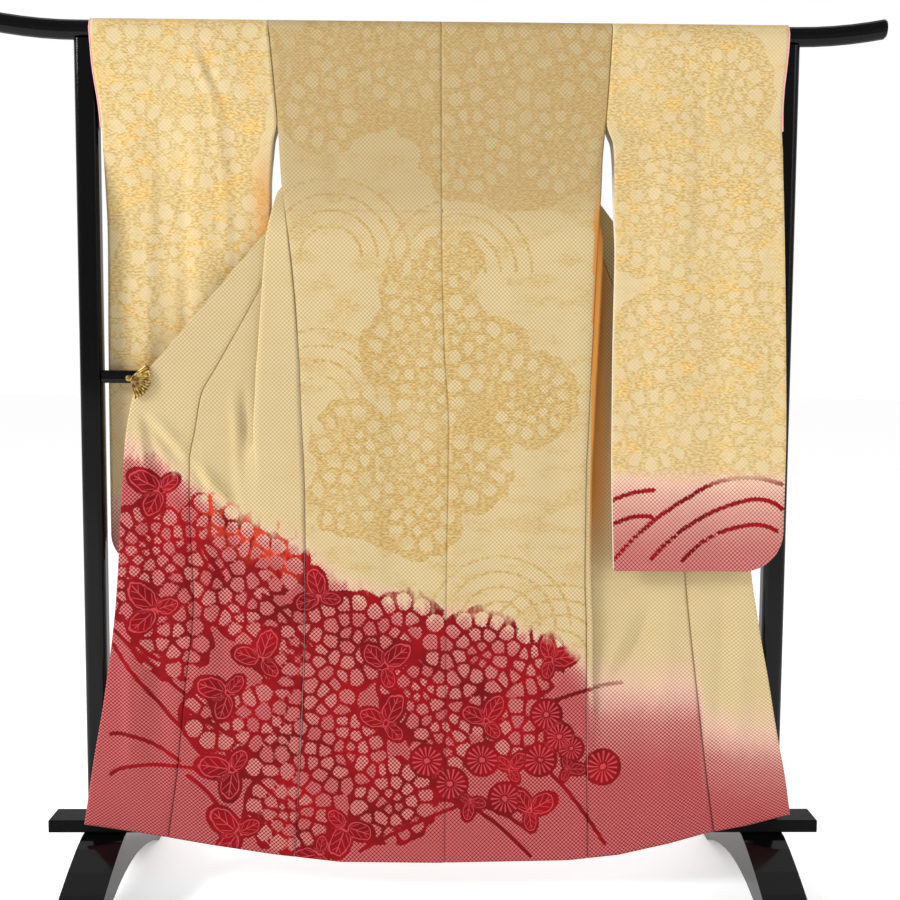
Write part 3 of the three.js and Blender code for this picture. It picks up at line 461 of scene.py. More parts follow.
FADE_EDGE = np.array([
    [-700, -674, -601, -534, -458, -371, -265, -168, -70, 18, 126, 245, 295, 305, 325, 523, 535,
     605, 720],
    [910, 910, 905, 882, 814, 756, 707, 629, 603, 580, 560, 510, 470, 425, 420, 421, 350, 336, 328]]) / 1000
# Gold ground without petals joins the gold flowers into larger clouds.
GOLD_CLOUDS = in_metres([
    (-150, 1620, 105), (160, 1500, 120), (20, 1560, 90), (230, 1580, 90), (60, 960, 90),
    (-30, 1130, 75), (-100, 800, 80), (0, 860, 70), (500, 1400, 140), (520, 1100, 130),
    (480, 1580, 130), (470, 960, 110), (-480, 1550, 130), (-470, 1340, 120), (-520, 1180, 110),
    (-590, 1400, 80),
])
SLEEVE_FADE = {"right": 0.835, "left": 0.790}
print("motifs:", len(RED_FLOWERS) + len(GOLD_FLOWERS), "chrysanthemums,", len(ROUND_FLOWERS), "round ones,",
      len(LEAVES), "leaves,", len(RED_LINES), "lines")

# %% [markdown]
# From places to masks. The masks are distances, positive inside a shape: dots and
# gold in centimetres, heat in decimetres. A distance stays true between two points
# of the mesh, so the dyed edge is crisp although the mesh is only as fine as the
# tied points are.

# %% Petals and masks
draw = random.Random(41)
RING_AT = [0.015, 0.044, 0.076, 0.108]
RING_PETALS = [5, 9, 14, 19]
PETAL_REACH = 0.0172
LINE_HALF = 0.0035
PETAL_GAP = 0.0235
RING_STEP = 0.031
PETAL_SWAY, TURN_SWAY = 0.0035, 0.16
LOST_SHARE = 0.06
FILL_TRIES = 90


def petal_centres(flowers):
    centres = []
    places = np.array(flowers)
    for k, (x, z, radius) in enumerate(flowers):
        spin = draw.uniform(0, math.tau)
        outermost = radius - RING_AT[0]
        rings = max(1, round((outermost - RING_AT[0]) / RING_STEP) + 1)
        swell = outermost / RING_AT[rings - 1]
        for ring, count in zip(RING_AT[:rings], RING_PETALS):
            spin += math.pi / count
            for petal in range(count):
                angle = spin + math.tau * (petal + draw.uniform(-TURN_SWAY, TURN_SWAY)) / count
                reach = ring * swell + draw.uniform(-PETAL_SWAY, PETAL_SWAY)
                px, pz = x + reach * math.cos(angle), z + reach * math.sin(angle)
                lost = draw.random() < LOST_SHARE
                shares = np.hypot(places[:, 0] - px, places[:, 1] - pz) / places[:, 2]
                if shares.argmin() == k and not lost:
                    centres.append((px, pz))
    for x, z, radius in flowers:  # small petals fill the gaps that the rings leave
        for _ in range(FILL_TRIES):
            angle, reach = draw.uniform(0, math.tau), radius * math.sqrt(draw.random())
            px, pz = x + reach * math.cos(angle), z + reach * math.sin(angle)
            if np.hypot(*(np.array(centres) - (px, pz)).T).min() > PETAL_GAP:
                centres.append((px, pz))
    return np.array(centres)


def nearest_two(x, z, places, radii=None):
    first, second = np.full(len(x), 9e9), np.full(len(x), 9e9)
    index = np.zeros(len(x), int)
    for k, (px, pz) in enumerate(places[:, :2]):
        d = np.hypot(x - px, z - pz)
        if radii is not None:
            d = d / radii[k]
        closer = d < first
        second = np.where(closer, first, np.minimum(second, d))
        index = np.where(closer, k, index)
        first = np.where(closer, d, first)
    return first, second, index


def petal_mask(x, z, flowers, petals, margin, clouds=()):
    """Positive inside petals, negative on the lines between, in metres; and the field's reach."""
    first, second, index = nearest_two(x, z, petals)
    petal = np.minimum((second - first) / 2 - LINE_HALF, PETAL_REACH - first)
    places = np.array([*flowers, *clouds])
    share, _, which = nearest_two(x, z, places, places[:, 2])
    sway = 0.007 * np.sin(71 * x + 2.0 * np.sin(38 * z)) * np.sin(64 * z + 1.7 * np.sin(43 * x))
    field = (1 + margin - share) * places[which, 2] + sway
    return petal, field, index


def curve_points(three, step=0.003):
    x0, z0, x1, z1, x2, z2 = three
    count = int(math.hypot(x2 - x0, z2 - z0) / step * 1.2) + 2
    t = np.linspace(0, 1, count)
    b0, b1, b2 = 2 * (t - 0.5) * (t - 1), -4 * t * (t - 1), 2 * t * (t - 0.5)
    return np.stack([b0 * x0 + b1 * x1 + b2 * x2, b0 * z0 + b1 * z1 + b2 * z2], 1)


RED_PETALS = petal_centres(RED_FLOWERS)
GOLD_PETALS = petal_centres(GOLD_FLOWERS)
LINE_POINTS = np.concatenate([curve_points(line) for line in RED_LINES])
SLEEVE_POINTS = np.concatenate([curve_points(line) for line in SLEEVE_LINES])
LOBES = []
for x, z, size, angle in LEAVES:
    for turn, wide, long in ((0, 0.50, 0.76), (92, 0.44, 0.66), (-112, 0.34, 0.52)):
        way = math.radians(angle + turn)
        push = size * long * 0.95
        LOBES.append((x - math.sin(way) * push, z + math.cos(way) * push, size * wide, size * long, way))
MOTIFS = np.array([(*lobe, 0) for lobe in LOBES]
                  + [(x, z, r, r, 0.3 * k, 1) for k, (x, z, r) in enumerate(ROUND_FLOWERS)])
print(len(RED_PETALS), "red petals,", len(GOLD_PETALS), "gold petals,", len(LOBES), "leaf lobes")


def motif_masks(x, z):
    best = np.full(len(x), -9.0)
    local = np.zeros((len(x), 2))
    kind = np.zeros(len(x))
    for mx, mz, wide, long, way, what in MOTIFS:
        dx, dz = x - mx, z - mz
        u = (dx * math.cos(way) + dz * math.sin(way)) / wide
        v = (-dx * math.sin(way) + dz * math.cos(way)) / long
        inside = (1 - np.hypot(u, v)) * min(wide, long)
        closer = inside > best
        best = np.where(closer, inside, best)
        local = np.where(closer[:, None], np.stack([u, v], 1), local)
        kind = np.where(closer, what, kind)
    return best, local, kind


def arc_distance(x, z, sets, step):
    """How far inside the nearest of the arcs that stand round each middle."""
    best = np.full(len(x), -1.0)
    for mx, mz, radius in sets:
        r = np.hypot(x - mx, z - mz)
        k = np.clip(np.round((radius - r) / step), 0, 3)
        line = -np.abs(r - (radius - k * step))
        best = np.where((z > mz) & (line > best), line, best)
    return best


def painted_warm_shade(name, x, z):
    """Painted warm light and shade: an amber tint for light that comes through one layer of gold silk
    and bounces between the layers, at the left sleeve's inner edge and where the right front turns in beside
    the sleeve."""
    if name.endswith("sleeve_left"):
        high = soft((1.50 - z) / 0.12) * soft((z - 1.12) / 0.1)
        return 0.55 * np.exp(-(((x + 0.335) / 0.022) ** 2)) * high
    if name.endswith("body_right"):
        high = soft((z - 0.62) / 0.2) * soft((1.42 - z) / 0.1)
        return 0.95 * (x > 0.300) * soft((0.36 - x) / 0.05) * high
    return np.zeros(len(x))


RED_MARGIN, GOLD_MARGIN = 0.12, 0.22  # petals reach past their flower's circle by this share
# Half the width that each kind of drawn line leaves untied, in metres.
SLEEVE_LINE, BODY_LINE, LEAF_LINE, ARC_LINE = 0.0046, 0.0044, 0.0028, 0.0030
ARC_STEP = 0.030
GOLD_SHRINK = 0.0018
SLEEVE_GILD, BODY_GILD, FRONT_GILD = 1.0, 0.75, 0.16
NO_GOLD = 0.05


def dye_masks(name, points, sewn):
    x, z = points[:, 0], points[:, 2]
    on_sleeve = "sleeve" in name
    side = "left" if name.endswith("left") else "right"
    petal, field, index = petal_mask(x, z, RED_FLOWERS, RED_PETALS, RED_MARGIN)
    dots = np.maximum(petal, -field - 0.001)
    line = np.full(len(x), -1.0)
    drawn = SLEEVE_POINTS if on_sleeve else LINE_POINTS
    for start in range(0, len(drawn), 64):
        chunk = drawn[start:start + 64]
        near = np.hypot(x[:, None] - chunk[None, :, 0], z[:, None] - chunk[None, :, 1]).min(1)
        line = np.maximum(line, -near)
    if on_sleeve:
        dots = -(line + SLEEVE_LINE)
        inside, local, kind = np.full(len(x), -1.0), np.zeros((len(x), 2)), np.zeros(len(x))
        edge = SLEEVE_FADE[side]
    else:
        inside, local, kind = motif_masks(x, z)
        dots = np.minimum(dots, -(line + BODY_LINE))
        dots = np.minimum(dots, -(inside + LEAF_LINE))
        edge = np.interp(x, *FADE_EDGE)
    gold_petal, gold_field, _ = petal_mask(x, z, GOLD_FLOWERS, GOLD_PETALS, GOLD_MARGIN, GOLD_CLOUDS)
    gold = np.maximum(gold_petal - GOLD_SHRINK, -gold_field)
    gold = np.minimum(gold, -(arc_distance(x, z, GOLD_ARCS, ARC_STEP) + ARC_LINE))
    heat = (edge - z) * (1 - 0.6 * soft((x - 0.27) / 0.06) * (not on_sleeve))
    tone = np.where((petal > -field) & (not on_sleeve), 0.55 + 0.45 * np.sin(index * 12.9898), 0.0)
    gild = np.full(len(x), SLEEVE_GILD if on_sleeve else BODY_GILD)
    tuck = np.where(x < 0, TUCK_AT["left"], TUCK_AT["right"])
    tuck = np.where(("body" in name) & (points[:, 1] < -0.014), np.abs(z / MM - tuck), NO_SEAM)
    if not on_sleeve:
        outside = np.abs(x) / MM > FRONTS[side](z / MM)["s"] + 3
        gild = np.where(outside, FRONT_GILD, gild)
        gold = np.where(outside, NO_GOLD, gold)
    return {
        "dye": np.stack([dots * 100, gold * 100, heat * 10], 1),
        "motif": np.stack([local[:, 0], local[:, 1], gild], 1),
        "inside": np.stack([np.where(kind == 0, inside, -0.01) * 100,
                            np.where(kind == 1, inside, -0.01) * 100, tone], 1),
        # Distances from the seams and the tuck, for the painted seam shade, and the mask of the painted warm
        # light and shade.
        "seam": np.stack([sewn, tuck, painted_warm_shade(name, x, z)], 1),
    }

# %% [markdown]
# A body strip. A kimono has no shoulder seam: one length of silk runs from the back
# hem up over the shoulder and down to the front hem. The back hangs flat. The front
# is drawn outwards, so at each height its row starts at the overlap seam, runs in
# behind the back panel, folds, comes out again to a soft ridge and ends at the side
# seam. The ridge stands about two centimetres proud at the left.

# %% Rows of a front
FRONT_CELLS = {"flap": 34, "turn": 4, "middle": 16, "near": 10}
NECK_CELLS = 16


def front_rows(side, z):
    """Distances out and depths of the front's rows, one row for each height."""
    r = FRONTS[side](z)
    turn_a = np.radians(r["aturn"])
    turn_b = np.radians(r["bturn"])
    step_a = np.stack([np.cos(turn_a), np.sin(turn_a)], 1) * FOLD_HALF
    step_b = np.stack([np.cos(turn_b), np.sin(turn_b)], 1) * FOLD_HALF
    ridge = np.stack([r["a"], r["ay"]], 1)
    inner = np.stack([r["b"], r["by"]], 1)
    side_y = r["sy"]
    lean = np.arctan2(ridge[:, 1] - step_a[:, 1] - side_y, r["a"] - r["s"])
    sewn = SEAM_GAP / 2 + np.abs(np.sin(lean)) * WALL / 2
    side_out = np.where(z <= SIDE_SEAM_TOP, r["s"] + sewn, r["s"] - SEAM_GAP / 2)
    corners = [np.stack([r["o"] - SEAM_GAP / 2, r["oy"]], 1), inner + step_b, inner - step_b,
               ridge + step_a, ridge - step_a, np.stack([side_out, side_y], 1)]
    counts = [FRONT_CELLS[k] for k in ("flap", "turn", "middle", "turn", "near")]
    bulge = [0, -np.sin(turn_b), 0, np.sin(turn_a), 0]
    columns = []
    for k, count in enumerate(counts):
        part = np.linspace(0, 1, count + 1)[(1 if k else 0):]
        stretch = corners[k][:, None] + (corners[k + 1] - corners[k])[:, None] * part[None, :, None]
        if k == 0:
            depth = all_folds(f"front_{side}", stretch[..., 0], np.repeat(z[:, None], len(part), 1))
            stretch[..., 1] += depth * np.sin(np.pi * part) * soft((1040 - z) / 120)[:, None]
        if k in (1, 3):
            stretch[..., 0] += np.outer(bulge[k], np.sin(np.pi * part)) * FOLD_HALF
        columns.append(stretch)
    grid = np.concatenate(columns, axis=1)
    return grid[..., 0], grid[..., 1]


TUCK_STEP = 1.6
BACK_FINE_BELOW, FRONT_FINE_BELOW = 900, 1100  # rows stand closer below, where the pattern is
BACK_ROWS, FRONT_ROWS = (116, 156), (50, 152)
DRAPE_LONG = 60
WRAP_STEPS = 16
WRAP_ANGLES = np.linspace(0, np.pi, WRAP_STEPS + 1)
ROUND_LONG = np.pi * (WRAP_DEEP + WRAP_HIGH) / 2


def over_bar(out, angles):
    """Points of the round over the bar, one row for each angle."""
    angle = angles[:, None] + np.zeros_like(out)[None]
    return np.stack([np.repeat(out[None], len(angles), 0), -WRAP_DEEP * np.cos(angle),
                     HANG_TOP + WRAP_HIGH * np.sin(angle)], -1)


def back_heights(side):
    tuck = TUCK_AT[side]
    fine = np.linspace(HEM_LOW, BACK_FINE_BELOW, BACK_ROWS[1])[:-1]
    upper = np.linspace(BACK_FINE_BELOW, HANG_TOP, BACK_ROWS[0])[:-1]
    return np.unique(np.concatenate([fine, upper, tuck + np.array([-6.0, -3.0, -1.0, 1.0, 3.0])]))


def body(side):
    sign = SIGN[side]
    front_z = np.concatenate([np.linspace(HANG_TOP, FRONT_FINE_BELOW, FRONT_ROWS[0])[1:-1],
                              np.linspace(FRONT_FINE_BELOW, HEM_LOW, FRONT_ROWS[1])])
    top_out, _ = front_rows(side, np.array([HANG_TOP]))
    middle = sign * CENTRE_SEAM(HANG_TOP)["x"] + SEAM_GAP / 2
    first, last = top_out[0, 0], top_out[0, -1]
    even = np.linspace(first, last, top_out.shape[1])
    columns = np.concatenate([np.linspace(middle, first, NECK_CELLS + 1)[:-1], even])
    share = (columns - middle) / (columns[-1] - middle)
    z = back_heights(side)
    seam = sign * CENTRE_SEAM(z)["x"] + SEAM_GAP / 2
    edge = FRONTS[side](z)["s"] - SEAM_GAP / 2
    out = seam[:, None] + (edge - seam)[:, None] * share[None]
    high = np.repeat(z[:, None], len(share), 1)
    folds = all_folds(f"back_{side}", out, high) * np.sin(np.pi * share)[None]
    depth = BACK_DEPTH(z)["y"][:, None] + folds
    depth += TUCK_STEP * (soft((TUCK_AT[side] + 1 - high) / 3) - soft((TUCK_AT[side] - 3 - high) / 60))
    for inward in (out - seam[:, None], edge[:, None] - out):
        depth += CROWN_DEEP * np.exp(-(inward / CROWN_WIDE) ** 2)
    back = np.stack([sign * out, depth, high + hem_lift(side, out, high)], -1)
    over = over_bar(sign * columns, WRAP_ANGLES)
    front_out, front_y = front_rows(side, front_z)
    drape = soft((HANG_TOP - front_z) / DRAPE_LONG)[:, None]
    front_out = even[None] * (1 - drape) + front_out * drape
    front_out = np.concatenate([np.repeat(front_out[:, :1], NECK_CELLS, 1), front_out], 1)
    front_y = np.concatenate([np.repeat(front_y[:, :1], NECK_CELLS, 1), front_y], 1)
    high = np.repeat(front_z[:, None], len(columns), 1)
    front = np.stack([sign * front_out, front_y, high + hem_lift(side, front_out, high)], -1)
    grid = np.concatenate([back, over, front])
    along = np.concatenate([z, HANG_TOP + WRAP_ANGLES / np.pi * ROUND_LONG,
                            2 * HANG_TOP + ROUND_LONG - front_z])
    lie = np.stack([grid[..., 0], np.repeat(along[:, None], len(columns), 1)], -1)
    bent = len(z) + len(WRAP_ANGLES)
    near_edge = np.minimum(out - seam[:, None], edge[:, None] - out)
    over_edge = np.minimum(columns - columns[0], columns[-1] - columns)
    over_edge = np.repeat(over_edge[None], len(WRAP_ANGLES), 0)
    from_o = np.where(front_z[:, None] < OKUMI_TIP, np.abs(front_out - front_out[:, :1]), NO_SEAM)
    flap_end = NECK_CELLS + FRONT_CELLS["flap"]
    from_o[:, flap_end:] = NO_SEAM
    from_s = np.abs(front_out - front_out[:, -1:])
    from_s[:, :flap_end + FRONT_CELLS["near"]] = NO_SEAM
    sewn = np.concatenate([near_edge, over_edge, np.minimum(from_o, from_s)])
    cells = cell_grid(len(grid), len(columns), lambda i, j: (i < bent - 1) | (j >= NECK_CELLS))
    return cloth_wall("silk_body", side, grid, lie, cells, sewn)


SILK = {}
for side in ("left", "right"):
    SILK[f"body_{side}"] = body(side)

# %% [markdown]
# The overlap panels, or okumi, widen each front. They end in a point at the collar
# and carry the design on past the seam, so their masks come from the same place on
# the design as the front's.

# %% Overlap panels
OKUMI_COLUMNS, OKUMI_ROWS = 36, 236
OKUMI_CROWN_DEEP, OKUMI_CROWN_WIDE = 2.0, 6.0


def okumi(side):
    sign = SIGN[side]
    z = np.linspace(OKUMI_TIP, HEM_LOW, OKUMI_ROWS)
    r = FRONTS[side](z)
    part = np.linspace(0, 1, OKUMI_COLUMNS)
    first = r["o"] + SEAM_GAP / 2
    out = first[:, None] + (r["e"] - first)[:, None] * part
    high = np.repeat(z[:, None], OKUMI_COLUMNS, 1)
    depth = r["oy"][:, None] + (r["ey"] - r["oy"])[:, None] * part
    depth += all_folds(f"okumi_{side}", out, high) * np.sin(np.pi * part)
    crown = OKUMI_CROWN_DEEP * np.exp(-((out - first[:, None]) / OKUMI_CROWN_WIDE) ** 2)
    depth += crown * soft((1300 - high) / 100)
    grid = np.stack([sign * out, depth, high + hem_lift(side, out, high)], -1)
    lie = np.stack([grid[..., 0], 2 * HANG_TOP + ROUND_LONG - high], -1)
    cells = cell_grid(len(z), OKUMI_COLUMNS)
    return cloth_wall("silk_okumi", side, grid, lie, cells[:, ::-1], out - first[:, None], turned="right")


for side in ("left", "right"):
    SILK[f"okumi_{side}"] = okumi(side)

# %% [markdown]
# Sleeves. Each is one strip laid over the bar: near wall, fold, far wall. The two
# walls are sewn together at the bottom and along the outer edge below the wrist, so
# the strip's grid gets closing cells there; the wrist and the inner edge stay open.

# %% Sleeves
SLEEVE_CELLS = 58
STRAIGHT_ROWS, CORNER_ROWS = 160, 14
ROUND_LIMIT = 0.995  # of the corner's radius, so that the lowest row keeps some width


def sleeve_heights(side):
    low, radius = SLEEVE_LOW[side], SLEEVE_ROUND[side]
    corner = low + radius * (1 - np.cos(np.radians(np.linspace(90, 0, CORNER_ROWS))))
    corner[-1] = low
    straight = np.linspace(HANG_TOP, low + radius, STRAIGHT_ROWS)
    return np.concatenate([straight[:-1], corner])


def sleeve_wall(side, z, far):
    r = SLEEVES[side](z)
    low, radius = SLEEVE_LOW[side], SLEEVE_ROUND[side]
    part = np.linspace(0, 1, SLEEVE_CELLS + 1)
    height = np.clip((low + radius - z) / radius, 0, ROUND_LIMIT)
    outer = r["outer"] - radius * (1 - np.sqrt(1 - height ** 2))
    blend = soft((z - ARMHOLE_LOW + 50) / 50)
    inner = r["inner"] + SLEEVE_START + (FRONTS[side](z)["s"] - r["inner"]) * blend
    if far:
        outer = np.minimum(outer, r["far_outer"])
    out = inner[:, None] + (outer - inner)[:, None] * part
    high = np.repeat(z[:, None], len(part), 1)
    deep = all_folds(f"sleeve_{side}", out, high) * np.sin(np.pi * part)
    body_y = FRONTS[side](z)["sy"] if far else BACK_DEPTH(z)["y"]
    if far:
        free = r["far"][:, None] + (r["far_edge"] - r["far"])[:, None] * part + deep / 2
    else:
        free = r["near"][:, None] + deep
    sewn = soft((z - ARMHOLE_LOW + 60) / 60)[:, None] * (1 - soft(part * 3))[None]
    depth = free + (body_y[:, None] - free) * sewn
    return np.stack([SIGN[side] * out, depth, high], -1)


def sleeve(side):
    z = sleeve_heights(side)
    near = sleeve_wall(side, z[::-1], False)
    far = sleeve_wall(side, z, True)
    top = SLEEVES[side](HANG_TOP)
    start = FRONTS[side](HANG_TOP)["s"] + SLEEVE_START
    columns = np.linspace(start, top["outer"], SLEEVE_CELLS + 1)
    angles = WRAP_ANGLES[1:-1]
    over = over_bar(SIGN[side] * columns, angles)
    grid = np.concatenate([near, over, far])
    along = np.concatenate([z[::-1], HANG_TOP + angles / np.pi * ROUND_LONG, 2 * HANG_TOP + ROUND_LONG - z])
    wide = len(columns)
    lie = np.stack([grid[..., 0], np.repeat(along[:, None], wide, 1)], -1)
    cells = cell_grid(len(grid), wide)
    closing = []
    for k in range(len(z) - 1):
        if z[k] <= WRIST_LOW:
            close, open_ = len(z) - 1 - k, len(grid) - len(z) + k
            closing.append([close * wide + wide - 1, open_ * wide + wide - 1,
                            (open_ + 1) * wide + wide - 1, (close - 1) * wide + wide - 1])
    last = (len(grid) - 1) * wide
    for j in range(wide - 1):
        closing.append([j + 1, last + j + 1, last + j, j])
    cells = np.concatenate([cells, np.array(closing)])
    return cloth_wall("silk_sleeve", side, grid, lie, cells)


for side in ("left", "right"):
    SILK[f"sleeve_{side}"] = sleeve(side)

# %% [markdown]
# The collar is a folded band sewn along the free edges. On a kimono hung open like
# this it turns in behind the front, from the neck down to where the overlap panel
# is held out.

# %% Collar
COLLAR_WIDE = 55.0
COLLAR_TOP, COLLAR_LOW = 1640.0, 1075.0
COLLAR_CLEAR = 4.6
COLLAR_NECK_DEEP = 22.0
COLLAR_ROWS = 72
CUFF_LOW, CUFF_ROWS = 1505.0, 30
CUFF_STEPS = (0.0, 1.3, 2.6)
COLLAR_NECK = [(5, 1682, 0.0, -1.0), (34, 1682, 0.15, -1.0), (60, 1678, 0.45, -0.9)]


def collar(side):
    reach = np.linspace(0, COLLAR_WIDE, 9)
    rows = []
    for k, (out, z, across_out, across_z) in enumerate(COLLAR_NECK):
        edge = SIGN[side] * float(CENTRE_SEAM(z)["x"]) + SEAM_GAP / 2 if k == 0 else out
        lean = np.array([-across_out, across_z]) / math.hypot(across_out, across_z)
        deep = np.full(len(reach), COLLAR_NECK_DEEP)
        rows.append(np.stack([edge + lean[0] * reach, deep, z + lean[1] * reach], 1))
    for z in np.linspace(COLLAR_TOP, COLLAR_LOW, COLLAR_ROWS):
        here, ahead = FRONTS[side](z), FRONTS[side](z - 10)
        run = np.array([float(ahead["e"] - here["e"]), -10.0])
        run /= np.linalg.norm(run)
        out = float(here["e"]) - 2 + run[1] * reach
        high = z - run[0] * reach
        flap = FRONTS[side](high)
        along = np.clip((out - flap["b"]) / np.maximum(flap["e"] - flap["b"], 1), 0, 1)
        start = flap["by"] + FOLD_HALF
        rows.append(np.stack([out, start + (flap["ey"] - start) * along + COLLAR_CLEAR, high], 1))
    grid = np.array(rows)
    grid[..., 0] *= SIGN[side]
    lie = np.stack([grid[..., 0], grid[..., 2]], -1)
    return cloth_wall("silk_collar", side, grid, lie, cell_grid(len(grid), len(reach)))


def cuff_edge(side):
    z = np.linspace(CUFF_LOW, HANG_TOP, CUFF_ROWS)
    r = SLEEVES[side](z)
    angles = WRAP_ANGLES[1:-1]
    top = float(SLEEVES[side](HANG_TOP)["outer"])
    near = np.stack([r["outer"], r["near"], z], 1)
    over = over_bar(np.array([top]), angles)[:, 0]
    far = np.stack([r["far_outer"], r["far_edge"], z], 1)[::-1]
    edge = np.concatenate([near, over, far])
    grid = np.stack([edge + [SEAM_GAP + wide, 0, 0] for wide in CUFF_STEPS], 1)
    grid[..., 0] *= SIGN[side]
    lie = np.stack([grid[..., 0], grid[..., 2]], -1)
    return cloth_wall("cuff", side, grid, lie, cell_grid(len(grid), len(CUFF_STEPS)), dye=False)


for side in ("left", "right"):
    SILK[f"collar_{side}"] = collar(side)
    SILK[f"cuff_edge_{side}"] = cuff_edge(side)

# %% [markdown]
# A small node kit. Each finish is built from nodes, so it has no pixels and stays
# sharp at any distance. A helper that makes one node from its inputs keeps each
# recipe short enough to read.

# %% Node helpers
def srgb(red, green, blue):
    """A colour as seen on a screen, 0 to 255, in the light's own linear scale."""
    values = [v / 255 for v in (red, green, blue)]
    return (*[v / 12.92 if v <= 0.04045 else ((v + 0.055) / 1.055) ** 2.4 for v in values], 1.0)


class Term:
    """A value in a recipe. Sums and products of terms become nodes."""

    def __init__(self, recipe, socket):
        self.recipe, self.socket = recipe, socket

    def __add__(self, other):
        return self.recipe.math("ADD", self, other)

    def __sub__(self, other):
        return self.recipe.math("SUBTRACT", self, other)

    def __mul__(self, other):
        return self.recipe.math("MULTIPLY", self, other)

    def __truediv__(self, other):
        return self.recipe.math("DIVIDE", self, other)


class Recipe:
    """Nodes of one material, wired as they are made."""

    def __init__(self, name):
        self.material = bpy.data.materials.new(name)
        self.material.use_nodes = True
        self.tree = self.material.node_tree
        self.shader = self.tree.nodes["Principled BSDF"]

    def wire(self, socket, value):
        if isinstance(value, Term):
            self.tree.links.new(value.socket, socket)
        else:
            socket.default_value = value

    def node(self, kind, values=(), output=0, **settings):
        """A node, its settings and its inputs, which are named or in order."""
        node = self.tree.nodes.new(kind)
        for key, setting in settings.items():
            setattr(node, key, setting)
        named = values.items() if isinstance(values, dict) else enumerate(values)
        for key, value in named:
            self.wire(node.inputs[key], value)
        return Term(self, node.outputs[output])

    def math(self, operation, *values):
        return self.node("ShaderNodeMath", values, operation=operation)

    def most(self, first, second):
        return self.math("MAXIMUM", first, second)

    def ramp(self, value, start, end, low=0.0, high=1.0):
        return self.node("ShaderNodeMapRange", {"Value": value, "From Min": start, "From Max": end,
                                                "To Min": low, "To Max": high},
                         interpolation_type="SMOOTHSTEP")

    def mix(self, share, first, second):
        return self.node("ShaderNodeMix", {"Factor": share, 6: first, 7: second}, 2, data_type="RGBA")

    def split(self, vector):
        parts = self.node("ShaderNodeSeparateXYZ", [vector]).socket.node.outputs
        return [Term(self, part) for part in parts]

    def attribute(self, name):
        return self.split(self.node("ShaderNodeAttribute", output="Vector", attribute_name=name))

    def place(self):
        return self.node("ShaderNodeTexCoord", output="Object")

    def noise(self, where, scale, detail=2.0, stretch=None, rough=0.5):
        if stretch:
            where = self.node("ShaderNodeVectorMath", [where, stretch], operation="MULTIPLY")
        return self.node("ShaderNodeTexNoise", {"Vector": where, "Scale": scale, "Detail": detail,
                                                "Roughness": rough})

    def bump(self, height, strength, distance):
        bumped = self.node("ShaderNodeBump", {"Strength": strength, "Distance": distance, "Height": height})
        self.wire(self.shader.inputs["Normal"], bumped)

    def finish(self, **inputs):
        for name, value in inputs.items():
            self.wire(self.shader.inputs[name.replace("_", " ")], value)
        return self.material

# %% [markdown]
# The silk. Kanoko shibori is a lattice of tied points, about six millimetres apart
# and turned by 45 degrees. Each point is a pale ring with a speck of dye in its
# middle, and it stands up as a tiny bump. The red bath, the gold bath and the pale
# ground all show through that lattice; the deep red between petals is untied cloth.

# %% Silk
TIE_SPACING = 0.0056
TIE_HEIGHT = 0.0007


def tie_lattice(s, x, z):
    """1 on the pale ring of each tied point, 0 on its speck and between the points."""
    pitch = TIE_SPACING * math.sqrt(2)
    a = s.math("FRACT", (x + z) / pitch) - 0.5
    b = s.math("FRACT", (x - z) / pitch) - 0.5
    reach = s.math("SQRT", a * a + b * b) * 2.0
    return s.ramp(reach, 0.08, 0.30) * s.ramp(reach, 0.96, 0.66)


def motif_lines(s, ragged):
    """Thin lines: rim, rib and veins of a leaf, spokes and eye of a round chrysanthemum."""
    u, v, _ = s.attribute("motif")
    leaf_in, round_in, _ = s.attribute("inside")
    radius = s.math("SQRT", u * u + v * v) + (ragged - 0.5) * 0.46
    rib = s.math("ABSOLUTE", u)
    rim = s.math("ABSOLUTE", radius - 0.80)
    vein = s.math("ABSOLUTE", s.math("FRACT", (v - rib * 0.9) * 1.9) - 0.5)
    ribs = s.most(s.ramp(rib, 0.07, 0.02), s.ramp(vein, 0.085, 0.035)) * s.ramp(radius, 0.72, 0.62)
    leaf = s.most(s.ramp(rim, 0.065, 0.025), ribs)
    fan = s.math("ABSOLUTE", s.math("SINE", s.math("ARCTAN2", u, v) * 8.0))
    spokes = s.ramp(fan, 0.70, 0.98) * s.ramp(radius, 0.22, 0.30) * s.ramp(radius, 0.92, 0.84)
    flower = s.most(spokes, s.ramp(radius, 0.20, 0.12))
    return s.most(leaf * s.ramp(leaf_in, 0.0, 0.05), flower * s.ramp(round_in, 0.0, 0.05))


def red_cloth(s, x, heat, pale, tied, wide, ragged):
    """The bath: untied cloth is deep red, hot orange in one place; tied cloth stays pink."""
    tone = s.attribute("inside")[2]
    deep = s.mix(s.ramp(wide, 0.3, 0.7), srgb(104, 0, 8), srgb(146, 2, 14))
    hot = s.ramp(x, -0.475, -0.44) * s.ramp(x, -0.245, -0.285) * s.ramp(heat, 1.1, 0.25)
    deep = s.mix(hot * s.ramp(ragged, 0.35, 0.6, 0.0, 0.8), deep, srgb(208, 66, 36))
    deep = s.mix(motif_lines(s, ragged) * 0.62, deep, srgb(214, 78, 86))
    petal = s.mix(tone, srgb(204, 112, 112), srgb(220, 146, 138))
    petal = s.mix(s.ramp(heat, 0.7, 0.0), petal, srgb(232, 176, 164))
    return s.mix(pale, deep, s.mix(tied * 0.94, srgb(122, 6, 20), petal))


